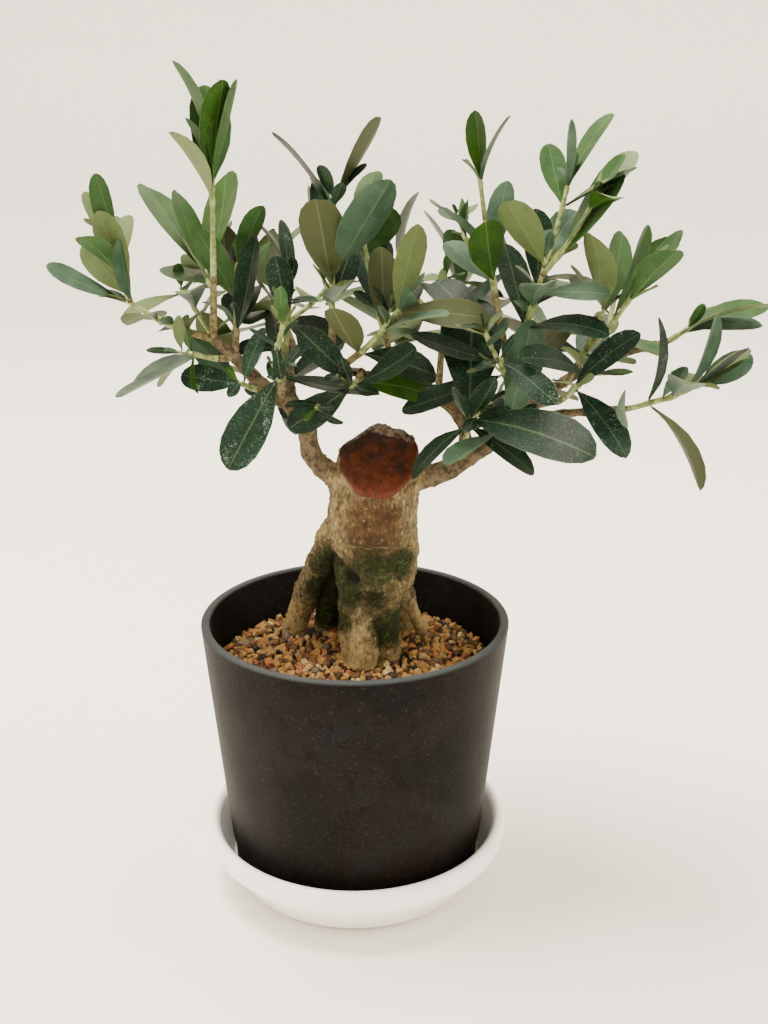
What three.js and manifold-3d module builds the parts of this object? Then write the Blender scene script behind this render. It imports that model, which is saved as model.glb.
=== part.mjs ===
// A small bonsai olive in a round plastic pot on a drip saucer, modelled with three.js.
// The frame: millimetres, +Z up, X to the right and Y away from the viewer, the origin
// at the centre of the saucer's flat underside. The trunk is a stump with root legs and
// a slanting saw cut, the boughs are bent cones, and each mass of foliage is a few
// leafy shoots that grow in pairs of leaves, each pair a quarter turn from the last.
import * as THREE from "three";
import { mergeVertices } from "three/addons/utils/BufferGeometryUtils.js";
import Module from "manifold-3d";

const wasm = await Module();
wasm.setup();

// Driving dimensions, in millimetres
const CLEARANCE = 0.3; // air between two solids that grow out of each other
const ROUND_SIDES = 36;

const SAUCER = {
  footRadius: 34.5,
  floorHeight: 4,
  floorRadius: 37.6,
  lipRadius: 47.5,
  lipInner: 43.6,
  lipUnder: 13.6,
  height: 20.4,
};

const POT = {
  base: SAUCER.floorHeight,
  footRadius: 38.2,
  footHeight: 11,
  bodyRadius: 39.3,
  rimRadius: 46.4,
  rimHeight: 86.5,
  wall: 2.7,
  floor: 3,
  edge: 0.8,
};

const GRAVEL = {
  level: 77, // a low mound that the trunk stands on
  moundRadius: 29,
  edgeLevel: 74.6,
};

const TRUNK = {
  ground: GRAVEL.level,
  top: 149,
  foot: [4, 0.5], // centre of the section at the ground, x and y
  neck: [6.5, -1.5],
  neckHeight: 120,
  sides: 28,
  rings: 13,
  // the plain round section's radius at these shares of the height
  girth: [7.5, 9, 10.6, 11.6, 11.7, 11.6, 11.6, 11],
  legSides: 8,
};

// The root legs that the stump stands on: each one's route from inside the stump down
// past the gravel, and its radius at both ends. A dark hollow parts the left one from
// the rest, and the front one stands out under a fold of the bark.
const LEGS = [
  { route: [[-1.5, -1, 119], [-8.3, 1, 110], [-11.8, 3.5, 101], [-15.5, 8, 90], [-20.5, 15, 75]],
    radii: [4.2, 3.4] },
  { route: [[0, -5, 112], [-0.5, -7, 100], [-0.7, -7.2, 88], [-0.2, -5.8, 75]],
    radii: [4, 3.8] },
  { route: [[3.5, -6, 104], [3.3, -9.8, 97], [3, -10.6, 87], [2.8, -10.4, 75]],
    radii: [5, 4.9] },
  { route: [[9, -6, 103], [9.5, -8, 94], [10.3, -5, 84], [10.8, -2.5, 75]],
    radii: [4.8, 4.2] },
  { route: [[13, -2, 100], [16.5, 0, 89], [20, 3, 80], [22.5, 6, 74]], radii: [3.6, 1.8] },
  { route: [[8, 5, 102], [11, 10, 90], [14, 15, 80], [16, 18, 74]], radii: [5, 3] },
  { route: [[2, 6, 104], [0, 11, 92], [-3, 16, 80], [-4, 18, 74]], radii: [5, 3.4] },
];

// Where the stump bulges: the way in degrees from +X towards +Y, the height, how far out
// and how wide it is. The first two are at the boughs, the last is the front fold.
const SWELLINGS = [
  { way: 178, height: 129, swell: 1.2, half: 50, spread: 6 },
  { way: -8, height: 129, swell: 1.2, half: 50, spread: 6 },
  { way: -4, height: 103, swell: 2, half: 60, spread: 12 },
  { way: 275, height: 101.5, swell: 3.2, half: 55, spread: 5.5 },
];

// The planes that the stump is cut by, each with its slope in degrees from level. The
// slanting saw cut faces forward, the old top falls to the right and a shoulder to the left.
const CUTS = [
  { point: [8.5, -13, 128.9], forward: 46, right: 3 },
  { point: [6.3, 0, 143.2], forward: 0, right: 12 },
  { point: [-0.8, 0, 139.6], forward: 10, right: -45 },
];

// Each limb: its own name, its route from inside what carries it to its tip, and its
// radius at both ends
const LIMBS = [
  {
    name: "bough_left",
    route: [[2, -2, 128], [-6, -3, 131.5], [-12, -4.5, 138.5], [-13.5, -5, 147],
      [-18, -5, 153], [-24, -5, 157], [-32, -4, 165], [-39, -3, 171]],
    radii: [3.5, 1.6],
  },
  {
    name: "bough_right",
    route: [[13, -2, 128.5], [20, -3.5, 131.3], [27, -6.5, 134.8], [34, -8, 140],
      [42, -8, 145.5], [49, -6.5, 150]],
    radii: [3.8, 2],
  },
  {
    name: "stub_left",
    route: [[-14, -5, 146.5], [-10.5, -5.5, 149], [-9, -6, 155]],
    radii: [2, 1.3],
  },
  {
    name: "bough_centre",
    route: [[32, -7, 137.5], [31, -2, 147], [24, 1, 154], [13, 1, 157.5],
      [2, -0.5, 161], [-7, -2, 163]],
    radii: [1.9, 1.3],
  },
  {
    name: "bough_right_low",
    route: [[49, -6.5, 150], [60, -5, 151], [70, -5, 152]],
    radii: [1.6, 1.1],
  },
  {
    name: "bough_right_high",
    route: [[48, -7, 149], [46, -8.5, 157], [43, -8, 166]],
    radii: [1.7, 1.3],
  },
  {
    name: "bough_right_back",
    route: [[44, -7.5, 146.5], [52, 2, 152], [63, 8, 159], [76, 10, 165], [87, 10, 168]],
    radii: [1.9, 1.3],
  },
  {
    name: "bough_back_left",
    route: [[-15, -5, 148.5], [-18, 4, 152], [-20, 16, 157], [-20, 27, 164]],
    radii: [1.9, 1.2],
  },
  {
    name: "bough_back_right",
    route: [[40, -8, 143.5], [38, 4, 148], [34, 17, 154], [30, 29, 162]],
    radii: [2, 1.2],
  },
];

// The leaf of an olive: a short stalk, widest past its middle, and a blunt tip
const LEAF = {
  slimness: 0.42, // width over length
  thick: 0.7,
  fold: 10, // degrees that each half rises from the midrib
  budSize: 0.4, // the leaves round a bud, as a share of the last pair's
  budLean: 0.7,
  budPlace: 0.985,
  sizes: [1, 0.86, 0.72], // a leaf with no room is tried smaller before it is left out
  bladeFrom: 0.3, // the share of a leaf that keeps clear of the others of its own mass
  bladeWidth: 0.7,
};
// Its rings of points: how far along the leaf, and the half width as a share of its own.
// The first lies behind the twig's axis, so that the stalk is sunk in the twig.
const LEAF_RINGS = [
  { along: -0.02, width: 0 },
  { along: 0.25, width: 0.6 },
  { along: 0.68, width: 0.95 },
  { along: 1, width: 0 },
];
// How far chance takes each leaf from its place in its pair
const CHANCE = {
  round: [-40, 40], // degrees round the twig
  lean: [-24, 24], // degrees away from the twig
  length: [0.82, 1.12],
  width: [0.85, 1.15],
  bow: [-50, 20], // degrees that the blade droops or rises from root to tip
  roll: [-45, 45], // degrees about its own midrib
};
const TWIG = { sides: 3, steps: 4, stem: 1.15, side: 0.85, tip: 0.55, sag: 0.06 };

// Each mass of foliage: its stem and then the shoots that branch from the stem. A shoot
// runs from a point, or from a share of the stem, to its tip. Its pairs of leaves sit at
// these shares of its length, and their length and their lean from the twig in degrees
// are given for the first pair and the last. Turn sets the first pair round the twig.
const MASSES = [
  { name: "spray_left_outer", shoots: [
    { from: [-39, -3, 171], to: [-62, -6, 182], pairs: [0.3, 0.62, 0.95],
      leaf: [22, 23], lean: [102, 34], turn: 165, seed: 5560 },
    { from: 0.96, to: [-66, -5, 200], pairs: [0.1, 0.4, 0.8],
      leaf: [23, 19], lean: [21, 42], turn: 155, seed: 5955 },
  ] },
  { name: "spray_left_tall", shoots: [
    { from: [-39, -3, 171], to: [-37, -6, 217], pairs: [0.82, 0.89, 0.96],
      leaf: [26, 29], lean: [2, 5], turn: 190, seed: 53395 },
    { from: 0.3, to: [-42, 4, 189], pairs: [0.4, 0.9],
      leaf: [32, 39], lean: [28, 12], turn: 265, seed: 18111 },
  ] },
  { name: "spray_left_low", shoots: [
    { from: [-33, -4, 166], to: [-44, -9, 168], pairs: [0.9],
      leaf: [29, 31], lean: [56, 104], turn: 265, seed: 44863 },
  ] },
  { name: "spray_left_under", shoots: [
    { from: [-24, -5, 157], to: [-31, -10, 160], pairs: [0.9],
      leaf: [19, 21], lean: [59, 82], turn: 10, seed: 38313 },
  ] },
  { name: "spray_left_inner", shoots: [
    { from: [-33, -4, 166], to: [-33, 6, 191], pairs: [0.25, 0.6, 0.95],
      leaf: [26, 18], lean: [26, 22], turn: 295, seed: 46538 },
  ] },
  { name: "spray_left_core", shoots: [
    { from: [-21, -5, 155], to: [-18, 8, 185], pairs: [0.4, 0.7, 0.95],
      leaf: [19, 20], lean: [72, 8], turn: 5, seed: 33678 },
  ] },
  { name: "spray_left_front", shoots: [
    { from: [-20, -6, 155], to: [-20, -15, 172], pairs: [0.45],
      leaf: [34, 28], lean: [113, 135], turn: 35, seed: 33420 },
    { from: 0.9, to: [-18, -15, 178], pairs: [0.9],
      leaf: [12, 14], lean: [24, 51], turn: 115, seed: 26575 },
  ] },
  { name: "sprig_stub", shoots: [
    { from: [-9, -6, 154], to: [-10, -9, 153], pairs: [0.8],
      leaf: [11, 13], lean: [64, 90], turn: 115, seed: 39123 },
  ] },
  { name: "spray_centre_left", shoots: [
    { from: [-6, -2, 162.5], to: [-6, 3, 207], pairs: [0.5, 0.6, 0.97],
      leaf: [33, 26], lean: [41, 40], turn: 40, seed: 24696 },
    { from: 0.3, to: [-6, -4, 185], pairs: [0.6],
      leaf: [24, 23], lean: [52, 79], turn: 275, seed: 31399 },
  ] },
  { name: "spray_centre_front", shoots: [
    { from: [-5, -2, 162], to: [13, -12, 181], pairs: [0.35, 0.72, 0.95],
      leaf: [26, 29], lean: [81, 25], turn: 180, seed: 46526 },
  ] },
  { name: "spray_centre_back", shoots: [
    { from: [13, 1, 157], to: [2, 9, 199], pairs: [0.45, 0.95],
      leaf: [25, 22], lean: [34, 5], turn: 110, seed: 2941 },
  ] },
  { name: "spray_middle", shoots: [
    { from: [43, -8, 165], to: [34, -4, 215], pairs: [0.45, 0.55, 0.97],
      leaf: [24, 20], lean: [29, 5], turn: 280, seed: 29062 },
    { from: 0.5, to: [30, -2, 200], pairs: [0.9],
      leaf: [13, 8], lean: [43, 26], turn: 80, seed: 40141 },
  ] },
  { name: "spray_right_tall", shoots: [
    { from: [44, -8.5, 165.5], to: [52, -10, 194], pairs: [0.35, 0.55, 0.7, 0.95],
      leaf: [26, 23], lean: [56, 40], turn: 140, seed: 42680 },
    { from: 0.93, to: [57, -8, 213], pairs: [0.75, 0.97],
      leaf: [23, 22], lean: [62, 5], turn: 320, seed: 44623 },
    { from: 0.86, to: [63, -14, 209], pairs: [0.3, 0.9],
      leaf: [28, 20], lean: [13, 24], turn: 155, seed: 26539 },
  ] },
  { name: "spray_right_mid", shoots: [
    { from: [60, 4, 157], to: [69, -4, 180], pairs: [0.45, 0.95],
      leaf: [22, 30], lean: [72, 16], turn: 150, seed: 16799 },
    { from: 0.5, to: [75, -10, 184], pairs: [0.6, 0.95],
      leaf: [26, 25], lean: [1, 33], turn: 320, seed: 12116 },
  ] },
  { name: "spray_right_high", shoots: [
    { from: [86, 10, 167.5], to: [95, 8, 173], pairs: [0.6, 0.95],
      leaf: [33, 21], lean: [36, 43], turn: 190, seed: 45007 },
  ] },
  { name: "spray_right_end", shoots: [
    { from: [70, -5, 152], to: [86, -7, 156], pairs: [0.22, 0.75],
      leaf: [28, 30], lean: [89, 42], turn: 75, seed: 19170 },
    { from: 0.8, to: [95, -8, 160], pairs: [0.45, 0.8, 0.97],
      leaf: [29, 18], lean: [51, 8], turn: 270, seed: 6379 },
  ] },
  { name: "spray_right_low", shoots: [
    { from: [58, 1, 153], to: [61, -13, 161], pairs: [0.9],
      leaf: [25, 18], lean: [50, 68], turn: 85, seed: 16903 },
    { from: 0.3, to: [66, -4, 162], pairs: [0.9],
      leaf: [30, 31], lean: [64, 69], turn: 245, seed: 10865 },
  ] },
  { name: "spray_front", shoots: [
    { from: [31, -8, 138], to: [32, -20, 153], pairs: [0.85, 0.97],
      leaf: [25, 37], lean: [102, 63], turn: 190, seed: 13348 },
  ] },
  { name: "spray_front_mid", shoots: [
    { from: [44, -9, 159], to: [40, -18, 169], pairs: [0.55, 0.9],
      leaf: [29, 23], lean: [101, 68], turn: 40, seed: 55895 },
    { from: 0.75, to: [36, -19, 176], pairs: [0.8],
      leaf: [24, 23], lean: [43, 67], turn: 120, seed: 11086 },
  ] },
  { name: "spray_back_left", shoots: [
    { from: [-20, 27, 164], to: [-30, 44, 188], pairs: [0.3, 0.62, 0.95],
      leaf: [27, 26], lean: [82, 63], turn: 195, seed: 6622 },
    { from: 0.3, to: [-47, 36, 184], pairs: [0.4, 0.7, 0.95],
      leaf: [29, 21], lean: [88, 63], turn: 265, seed: 51926 },
    { from: 0.25, to: [-6, 42, 184], pairs: [0.4, 0.7, 0.95],
      leaf: [30, 32], lean: [75, 31], turn: 305, seed: 16297 },
  ] },
  { name: "spray_back_right", shoots: [
    { from: [30, 29, 162], to: [32, 47, 186], pairs: [0.3, 0.62, 0.95],
      leaf: [31, 25], lean: [87, 52], turn: 305, seed: 27324 },
    { from: 0.3, to: [54, 40, 182], pairs: [0.35, 0.65, 0.95],
      leaf: [31, 23], lean: [69, 52], turn: 260, seed: 26556 },
    { from: 0.25, to: [12, 42, 182], pairs: [0.4, 0.7, 0.95],
      leaf: [32, 27], lean: [89, 48], turn: 195, seed: 56085 },
  ] },
  { name: "spray_back_centre", shoots: [
    { from: [24, 1, 154.5], to: [26, 18, 186], pairs: [0.4, 0.68, 0.95],
      leaf: [27, 19], lean: [47, 67], turn: 155, seed: 23983 },
  ] },
  { name: "spray_back_far_right", shoots: [
    { from: [70, 8.5, 162.5], to: [77, 26, 182], pairs: [0.35, 0.65, 0.95],
      leaf: [24, 22], lean: [93, 36], turn: 330, seed: 38885 },
  ] },
  { name: "spray_back_far_left", shoots: [
    { from: [-30, -4, 163], to: [-52, 20, 182], pairs: [0.5, 0.75, 0.95],
      leaf: [28, 20], lean: [79, 61], turn: 350, seed: 51882 },
  ] },
  { name: "spray_low_centre", shoots: [
    { from: [2, -1, 161], to: [0, -9, 159], pairs: [0.6, 0.9],
      leaf: [23, 27], lean: [96, 93], turn: 145, seed: 6826 },
  ] },
  { name: "spray_low_right", shoots: [
    { from: [42, -8, 145], to: [44, -19, 151], pairs: [0.7, 0.95],
      leaf: [28, 20], lean: [68, 103], turn: 60, seed: 4919 },
  ] },
  { name: "spray_low_back", shoots: [
    { from: [37, 10, 150], to: [40, 20, 148], pairs: [0.6, 0.95],
      leaf: [26, 24], lean: [49, 77], turn: 300, seed: 27042 },
  ] },
  { name: "spray_low_back_left", shoots: [
    { from: [-19, 12, 155.5], to: [-24, 22, 152], pairs: [0.6, 0.95],
      leaf: [25, 28], lean: [62, 91], turn: 90, seed: 18411 },
  ] },
];

// Colours, roughness and metalness
const finish = (color, roughness) =>
  new THREE.MeshStandardMaterial({ color, roughness, metalness: 0 });
const PLASTIC_BLACK = finish("#2c2d2c", 0.62);
const PLASTIC_WHITE = finish("#f2f1ee", 0.3);
const STONES = finish("#a98355", 0.9);
const BARK = finish("#8d7c62", 0.9);
const FOLIAGE = finish("#41603a", 0.5);

const radians = THREE.MathUtils.degToRad;
const vector = (p) => new THREE.Vector3(...p);

// Chance: the same numbers for the same seed on every machine
function chance(seed) {
  let state = seed * 7919 + 17;
  return ([low, high]) => {
    state = (state * 1664525 + 1013904223) % 4294967296;
    return low + ((high - low) * state) / 4294967296;
  };
}

// A closed three.js geometry as a solid that can be cut and joined
function solidOf(geometry) {
  const bare = geometry.clone();
  bare.deleteAttribute("normal");
  bare.deleteAttribute("uv");
  const merged = mergeVertices(bare, 1e-4);
  return new wasm.Manifold(
    new wasm.Mesh({
      numProp: 3,
      vertProperties: new Float32Array(merged.attributes.position.array),
      triVerts: new Uint32Array(merged.index.array),
    }),
  );
}

// The other way: a solid as a geometry for a mesh
function geometryOf(solid) {
  const { vertProperties, triVerts } = solid.getMesh();
  const geometry = new THREE.BufferGeometry();
  geometry.setAttribute("position", new THREE.BufferAttribute(vertProperties, 3));
  geometry.setIndex(new THREE.BufferAttribute(triVerts, 1));
  geometry.computeVertexNormals();
  return geometry;
}

// The largest piece alone: scraps and sealed hollows are dropped
function wholePiece(solid) {
  return solid.decompose().reduce((a, b) => (b.volume() > a.volume() ? b : a));
}

function turned(profile) {
  const outline = profile.map(([r, z]) => new THREE.Vector2(r, z));
  // A lathe turns about Y, and this quarter turn stands it up on Z
  return new THREE.LatheGeometry(outline, ROUND_SIDES).rotateX(Math.PI / 2);
}

function saucerGeometry() {
  const s = SAUCER;
  return turned([
    [0, 0],
    [s.footRadius, 0],
    [s.footRadius + 3.4, 2.6],
    [s.footRadius + 6, 7.5],
    [s.footRadius + 8.2, s.lipUnder],
    [s.lipRadius - 1, s.lipUnder],
    [s.lipRadius, s.lipUnder + 1.4],
    [s.lipRadius, s.height - 1.6],
    [s.lipRadius - 1.6, s.height],
    [s.lipInner + 0.6, s.height],
    [s.floorRadius + 3.6, 12],
    [s.floorRadius, s.floorHeight],
    [0, s.floorHeight],
  ]);
}

// The pot's outside radius at a height, on its cone
function potRadius(z) {
  const share = (z - POT.base - POT.footHeight) / (POT.rimHeight - POT.base - POT.footHeight);
  return THREE.MathUtils.lerp(POT.bodyRadius, POT.rimRadius, share);
}

function potGeometry() {
  const p = POT;
  const floorTop = p.base + p.floor;
  return turned([
    [0, p.base],
    [p.footRadius - 1.4, p.base],
    [p.footRadius, p.base + 1.4],
    [p.footRadius + 0.5, p.base + p.footHeight - 0.6],
    [p.bodyRadius, p.base + p.footHeight],
    [p.rimRadius - 0.1, p.rimHeight - p.edge],
    [p.rimRadius - p.edge, p.rimHeight],
    [p.rimRadius - p.wall + p.edge * 0.6, p.rimHeight],
    [p.rimRadius - p.wall, p.rimHeight - p.edge * 0.6],
    [potRadius(floorTop) - p.wall, floorTop],
    [0, floorTop],
  ]);
}

function gravelGeometry() {
  const inside = (z) => potRadius(z) - POT.wall - CLEARANCE;
  const bottom = POT.base + POT.floor;
  return turned([
    [0, bottom],
    [inside(bottom), bottom],
    [inside(GRAVEL.edgeLevel), GRAVEL.edgeLevel],
    [GRAVEL.moundRadius, GRAVEL.level],
    [0, GRAVEL.level],
  ]);
}

// A smooth hump: 1 on its middle, 0 at its half width in degrees and past it
function hump(degrees, half) {
  const away = Math.abs(THREE.MathUtils.euclideanModulo(degrees + 180, 360) - 180);
  return away >= half ? 0 : 0.5 + 0.5 * Math.cos((Math.PI * away) / half);
}

// The stump's radius at a height, in the direction of an angle in degrees
function trunkRadius(angle, z) {
  const place = ((z - TRUNK.ground) / (TRUNK.top - TRUNK.ground)) * (TRUNK.girth.length - 1);
  const k = Math.min(Math.floor(place), TRUNK.girth.length - 2);
  let radius = THREE.MathUtils.lerp(TRUNK.girth[k], TRUNK.girth[k + 1], place - k);
  for (const s of SWELLINGS)
    radius += s.swell * hump(angle - s.way, s.half) * Math.exp(-(((z - s.height) / s.spread) ** 2));
  return radius;
}

function trunkCentre(z) {
  const share = Math.min(1, (z - TRUNK.ground) / (TRUNK.neckHeight - TRUNK.ground));
  return [0, 1].map((i) => THREE.MathUtils.lerp(TRUNK.foot[i], TRUNK.neck[i], share));
}

// The uncut stump, or a skin that stands off it by grow
function stump(grow = 0) {
  const shape = new THREE.CylinderGeometry(1, 1, 1, TRUNK.sides, TRUNK.rings);
  shape.rotateX(Math.PI / 2);
  const at = shape.attributes.position;
  for (let i = 0; i < at.count; i++) {
    const z = THREE.MathUtils.lerp(TRUNK.ground, TRUNK.top, at.getZ(i) + 0.5);
    const [cx, cy] = trunkCentre(z);
    const angle = Math.atan2(at.getY(i), at.getX(i));
    const onRim = Math.hypot(at.getX(i), at.getY(i)) > 0.5;
    const radius = onRim ? trunkRadius(THREE.MathUtils.radToDeg(angle), z) + grow : 0;
    at.setXYZ(i, cx + radius * Math.cos(angle), cy + radius * Math.sin(angle), z);
  }
  return solidOf(shape);
}

// The stump's planes take away everything above them. Lift raises them for a skin.
function sawn(solid, lift = 0) {
  const size = 120;
  return CUTS.reduce((rest, { point: [x, y, z], forward, right }) => {
    const block = new THREE.BoxGeometry(size, size, size).translate(0, 0, size / 2);
    block.rotateX(radians(forward)).rotateY(radians(right)).translate(x, y, z + lift);
    return rest.subtract(solidOf(block));
  }, solid);
}

// A round limb or twig along a route: a cylinder of length 1 bent on a curve and tapered.
// With grow it is a skin round the same limb.
function bent(route, [thick, thin], sides, steps, grow = 0) {
  const curve = curveOf(route);
  const { tangents, normals } = curve.computeFrenetFrames(steps, false);
  const shape = new THREE.CylinderGeometry(1, 1, 1, sides, steps);
  const at = shape.attributes.position;
  for (let i = 0; i < at.count; i++) {
    const share = at.getY(i) + 0.5;
    const k = Math.round(share * steps);
    const radius = THREE.MathUtils.lerp(thick, thin, share) + grow;
    const across = new THREE.Vector3().crossVectors(normals[k], tangents[k]);
    const ends = k === 0 ? -grow : k === steps ? grow : 0;
    const point = curve.getPointAt(share)
      .addScaledVector(normals[k], at.getX(i) * radius)
      .addScaledVector(across, at.getZ(i) * radius)
      .addScaledVector(tangents[k], ends);
    at.setXYZ(i, point.x, point.y, point.z);
  }
  return solidOf(shape);
}

// One leaf: a sphere of four sides pressed flat, drawn out to the leaf's outline and
// curved. It leaves its root along the way, with its upper side towards top. With grow
// it is a skin round the leaf, and with from it is only the blade past that share.
function leafSolid({ root, way, across, top, length, width, bow }, grow = 0, from = -1) {
  const last = LEAF_RINGS.length - 1;
  const shape = new THREE.SphereGeometry(1, 4, last);
  const at = shape.attributes.position;
  const uv = shape.attributes.uv;
  const bend = radians(bow) / length;
  for (let i = 0; i < at.count; i++) {
    const k = Math.round(uv.getY(i) * last);
    const ring = LEAF_RINGS[k];
    const along = Math.max(ring.along, from) * length;
    const isEnd = k === 0 || k === last;
    const side = isEnd ? 0 : Math.round(at.getX(i) / Math.hypot(at.getX(i), at.getZ(i)));
    const face = isEnd ? 0 : Math.round(at.getZ(i) / Math.hypot(at.getX(i), at.getZ(i)));
    const half = ring.width * (width / 2) + grow;
    const lift = Math.abs(side) * half * Math.tan(radians(LEAF.fold));
    const turn = bend * along;
    const normal = top.clone().multiplyScalar(Math.cos(turn)).addScaledVector(way, -Math.sin(turn));
    const point = root.clone()
      .addScaledVector(way, Math.sin(turn) / bend + (k === last ? grow : 0))
      .addScaledVector(top, (1 - Math.cos(turn)) / bend)
      .addScaledVector(across, side * half)
      .addScaledVector(normal, lift + face * (LEAF.thick / 2 + grow));
    at.setXYZ(i, point.x, point.y, point.z);
  }
  return solidOf(shape);
}

// The directions across a twig: u lies to the right where it can, and v away
function acrossTwig(direction) {
  const aim = Math.abs(direction.x) < 0.8 ? vector([1, 0, 0]) : vector([0, 0, 1]);
  const u = aim.addScaledVector(direction, -aim.dot(direction)).normalize();
  return [u, new THREE.Vector3().crossVectors(direction, u)];
}

// One leaf of a pair, from its twig's direction and its turn and lean in degrees
function leafAt(root, direction, turn, lean, length, draw) {
  const [u, v] = acrossTwig(direction);
  const round = radians(turn + draw(CHANCE.round));
  const out = radians(lean + draw(CHANCE.lean));
  const side = u.clone().multiplyScalar(Math.cos(round)).addScaledVector(v, Math.sin(round));
  const way = direction.clone().multiplyScalar(Math.cos(out)).addScaledVector(side, Math.sin(out));
  const full = length * draw(CHANCE.length);
  const width = full * LEAF.slimness * draw(CHANCE.width);
  const bow = draw(CHANCE.bow);
  const roll = radians(draw(CHANCE.roll));
  // The upper side looks along the twig and to the sky
  const up = direction.clone().multiplyScalar(0.6).add(vector([0, 0, 0.5]));
  up.addScaledVector(way, -up.dot(way)).normalize();
  const across = new THREE.Vector3().crossVectors(way, up);
  across.multiplyScalar(Math.cos(roll)).addScaledVector(up, Math.sin(roll));
  const top = new THREE.Vector3().crossVectors(across, way);
  return { root, way, across, top, length: full, width, bow };
}

// A shoot's curve sags a little and turns up towards its tip
function shootRoute(start, end) {
  const middle = start.clone().lerp(end, 0.5);
  middle.z -= TWIG.sag * start.distanceTo(end);
  return [start, middle, end].map((p) => p.toArray());
}

function curveOf(route) {
  return new THREE.CatmullRomCurve3(route.map(vector), false, "centripetal");
}

// The leaves of one shoot: its pairs, each a quarter turn on, and a small pair at the bud
function leavesOf({ pairs, leaf, lean, turn, seed }, route) {
  const curve = curveOf(route);
  const draw = chance(seed);
  const leaves = [];
  for (let k = 0; k <= pairs.length; k++) {
    const isBud = k === pairs.length;
    const share = isBud ? 1 : k === 0 ? 0 : (pairs[k] - pairs[0]) / (pairs.at(-1) - pairs[0]);
    const place = isBud ? LEAF.budPlace : pairs[k];
    const pairLean = isBud ? lean[1] * LEAF.budLean : THREE.MathUtils.lerp(...lean, share);
    const length = isBud ? leaf[1] * LEAF.budSize : THREE.MathUtils.lerp(...leaf, share);
    for (const half of [0, 180]) {
      const root = curve.getPointAt(place);
      const direction = curve.getTangentAt(place);
      leaves.push(leafAt(root, direction, turn + 90 * k + half, pairLean, length, draw));
    }
  }
  return leaves;
}

// Where each shoot of a mass runs. The first is the stem.
function shootsOf(mass) {
  const stem = mass.shoots[0];
  const stemRoute = shootRoute(vector(stem.from), vector(stem.to));
  const stemCurve = curveOf(stemRoute);
  return mass.shoots.map((shoot) => {
    if (shoot === stem) return { ...shoot, route: stemRoute, radii: [TWIG.stem, TWIG.tip] };
    const start = stemCurve.getPointAt(shoot.from);
    const route = shootRoute(start, vector(shoot.to));
    return { ...shoot, route, radii: [TWIG.side, TWIG.tip] };
  });
}

// The trunk is the sawn stump and its legs, cut level where they enter the gravel. Then
// come the limbs, each cut clear of what carries it.
const legs = LEGS.map(({ route, radii }) =>
  bent(route, radii, TRUNK.legSides, 2 * (route.length - 1)));
const standing = wasm.Manifold.union([sawn(stump()), ...legs]);
const trunk = wholePiece(standing.trimByPlane([0, 0, 1], TRUNK.ground));
const skins = [sawn(stump(CLEARANCE), CLEARANCE)];
const limbs = new Map();
for (const { name, route, radii } of LIMBS) {
  const steps = 2 * (route.length - 1);
  const clear = skins.reduce((solid, skin) => solid.subtract(skin), bent(route, radii, 8, steps));
  limbs.set(name, wholePiece(clear));
  skins.push(bent(route, radii, 8, steps, CLEARANCE));
}

// Then every mass's twigs, clear of the limbs and of the twigs before them
const masses = [];
for (const mass of MASSES) {
  const shoots = shootsOf(mass);
  const twig = ({ route, radii }, grow) => bent(route, radii, TWIG.sides, TWIG.steps, grow);
  const joined = wasm.Manifold.union(shoots.map((shoot) => twig(shoot, 0)));
  const others = masses.flatMap((other) => other.skin);
  const clear = [...skins, ...others].reduce((solid, skin) => solid.subtract(skin), joined);
  const skin = shoots.map((shoot) => twig(shoot, CLEARANCE));
  masses.push({ name: mass.name, shoots, parts: [wholePiece(clear)], skin });
}

// Last the leaves. One that would touch a limb or another leaf's blade, or come nearer
// than the clearance to another mass, is tried smaller and then left out.
const touches = (a, b) => !a.intersect(b).isEmpty();

function hasRoom(leaf, mass) {
  const space = leafSolid(leaf, CLEARANCE);
  if (skins.some((skin) => touches(space, skin))) return false;
  const others = masses.filter((other) => other !== mass);
  if (others.some((other) => other.parts.some((piece) => touches(space, piece)))) return false;
  const blade = leafSolid({ ...leaf, width: leaf.width * LEAF.bladeWidth }, 0, LEAF.bladeFrom);
  return !mass.parts.some((piece) => touches(blade, piece));
}

for (const mass of masses)
  for (const shoot of mass.shoots)
    for (const leaf of leavesOf(shoot, shoot.route)) {
      const sizes = LEAF.sizes.map((size) => ({
        ...leaf,
        length: leaf.length * size,
        width: leaf.width * size,
      }));
      const fits = sizes.find((smaller) => hasRoom(smaller, mass));
      if (fits) mass.parts.push(leafSolid(fits));
    }

const part = new THREE.Group();
function add(name, geometry, material) {
  const mesh = new THREE.Mesh(geometry, material);
  mesh.name = name;
  part.add(mesh);
}

add("saucer", saucerGeometry(), PLASTIC_WHITE);
add("pot", potGeometry(), PLASTIC_BLACK);
add("gravel", gravelGeometry(), STONES);
add("trunk", geometryOf(trunk), BARK);
for (const [name, solid] of limbs) add(name, geometryOf(solid), BARK);
for (const mass of masses) {
  const joined = wholePiece(wasm.Manifold.union(mass.parts));
  add(mass.name, geometryOf(joined), FOLIAGE);
}

export default part;
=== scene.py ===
"""A small bonsai olive in a round charcoal pot on a white drip saucer.

The tables give lengths in millimetres in the part's own frame: +Z up, X to the right,
Y away from the viewer, the origin under the middle of the saucer. The stump, the boughs,
the twigs and the leaves grow by the same named sizes and seeded rule as the solids that
they stand for, and are carried on to finer sprigs, veins and bark.
"""

import math

import bmesh
import bpy
import numpy as np
from mathutils import Matrix, Vector, noise


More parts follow.
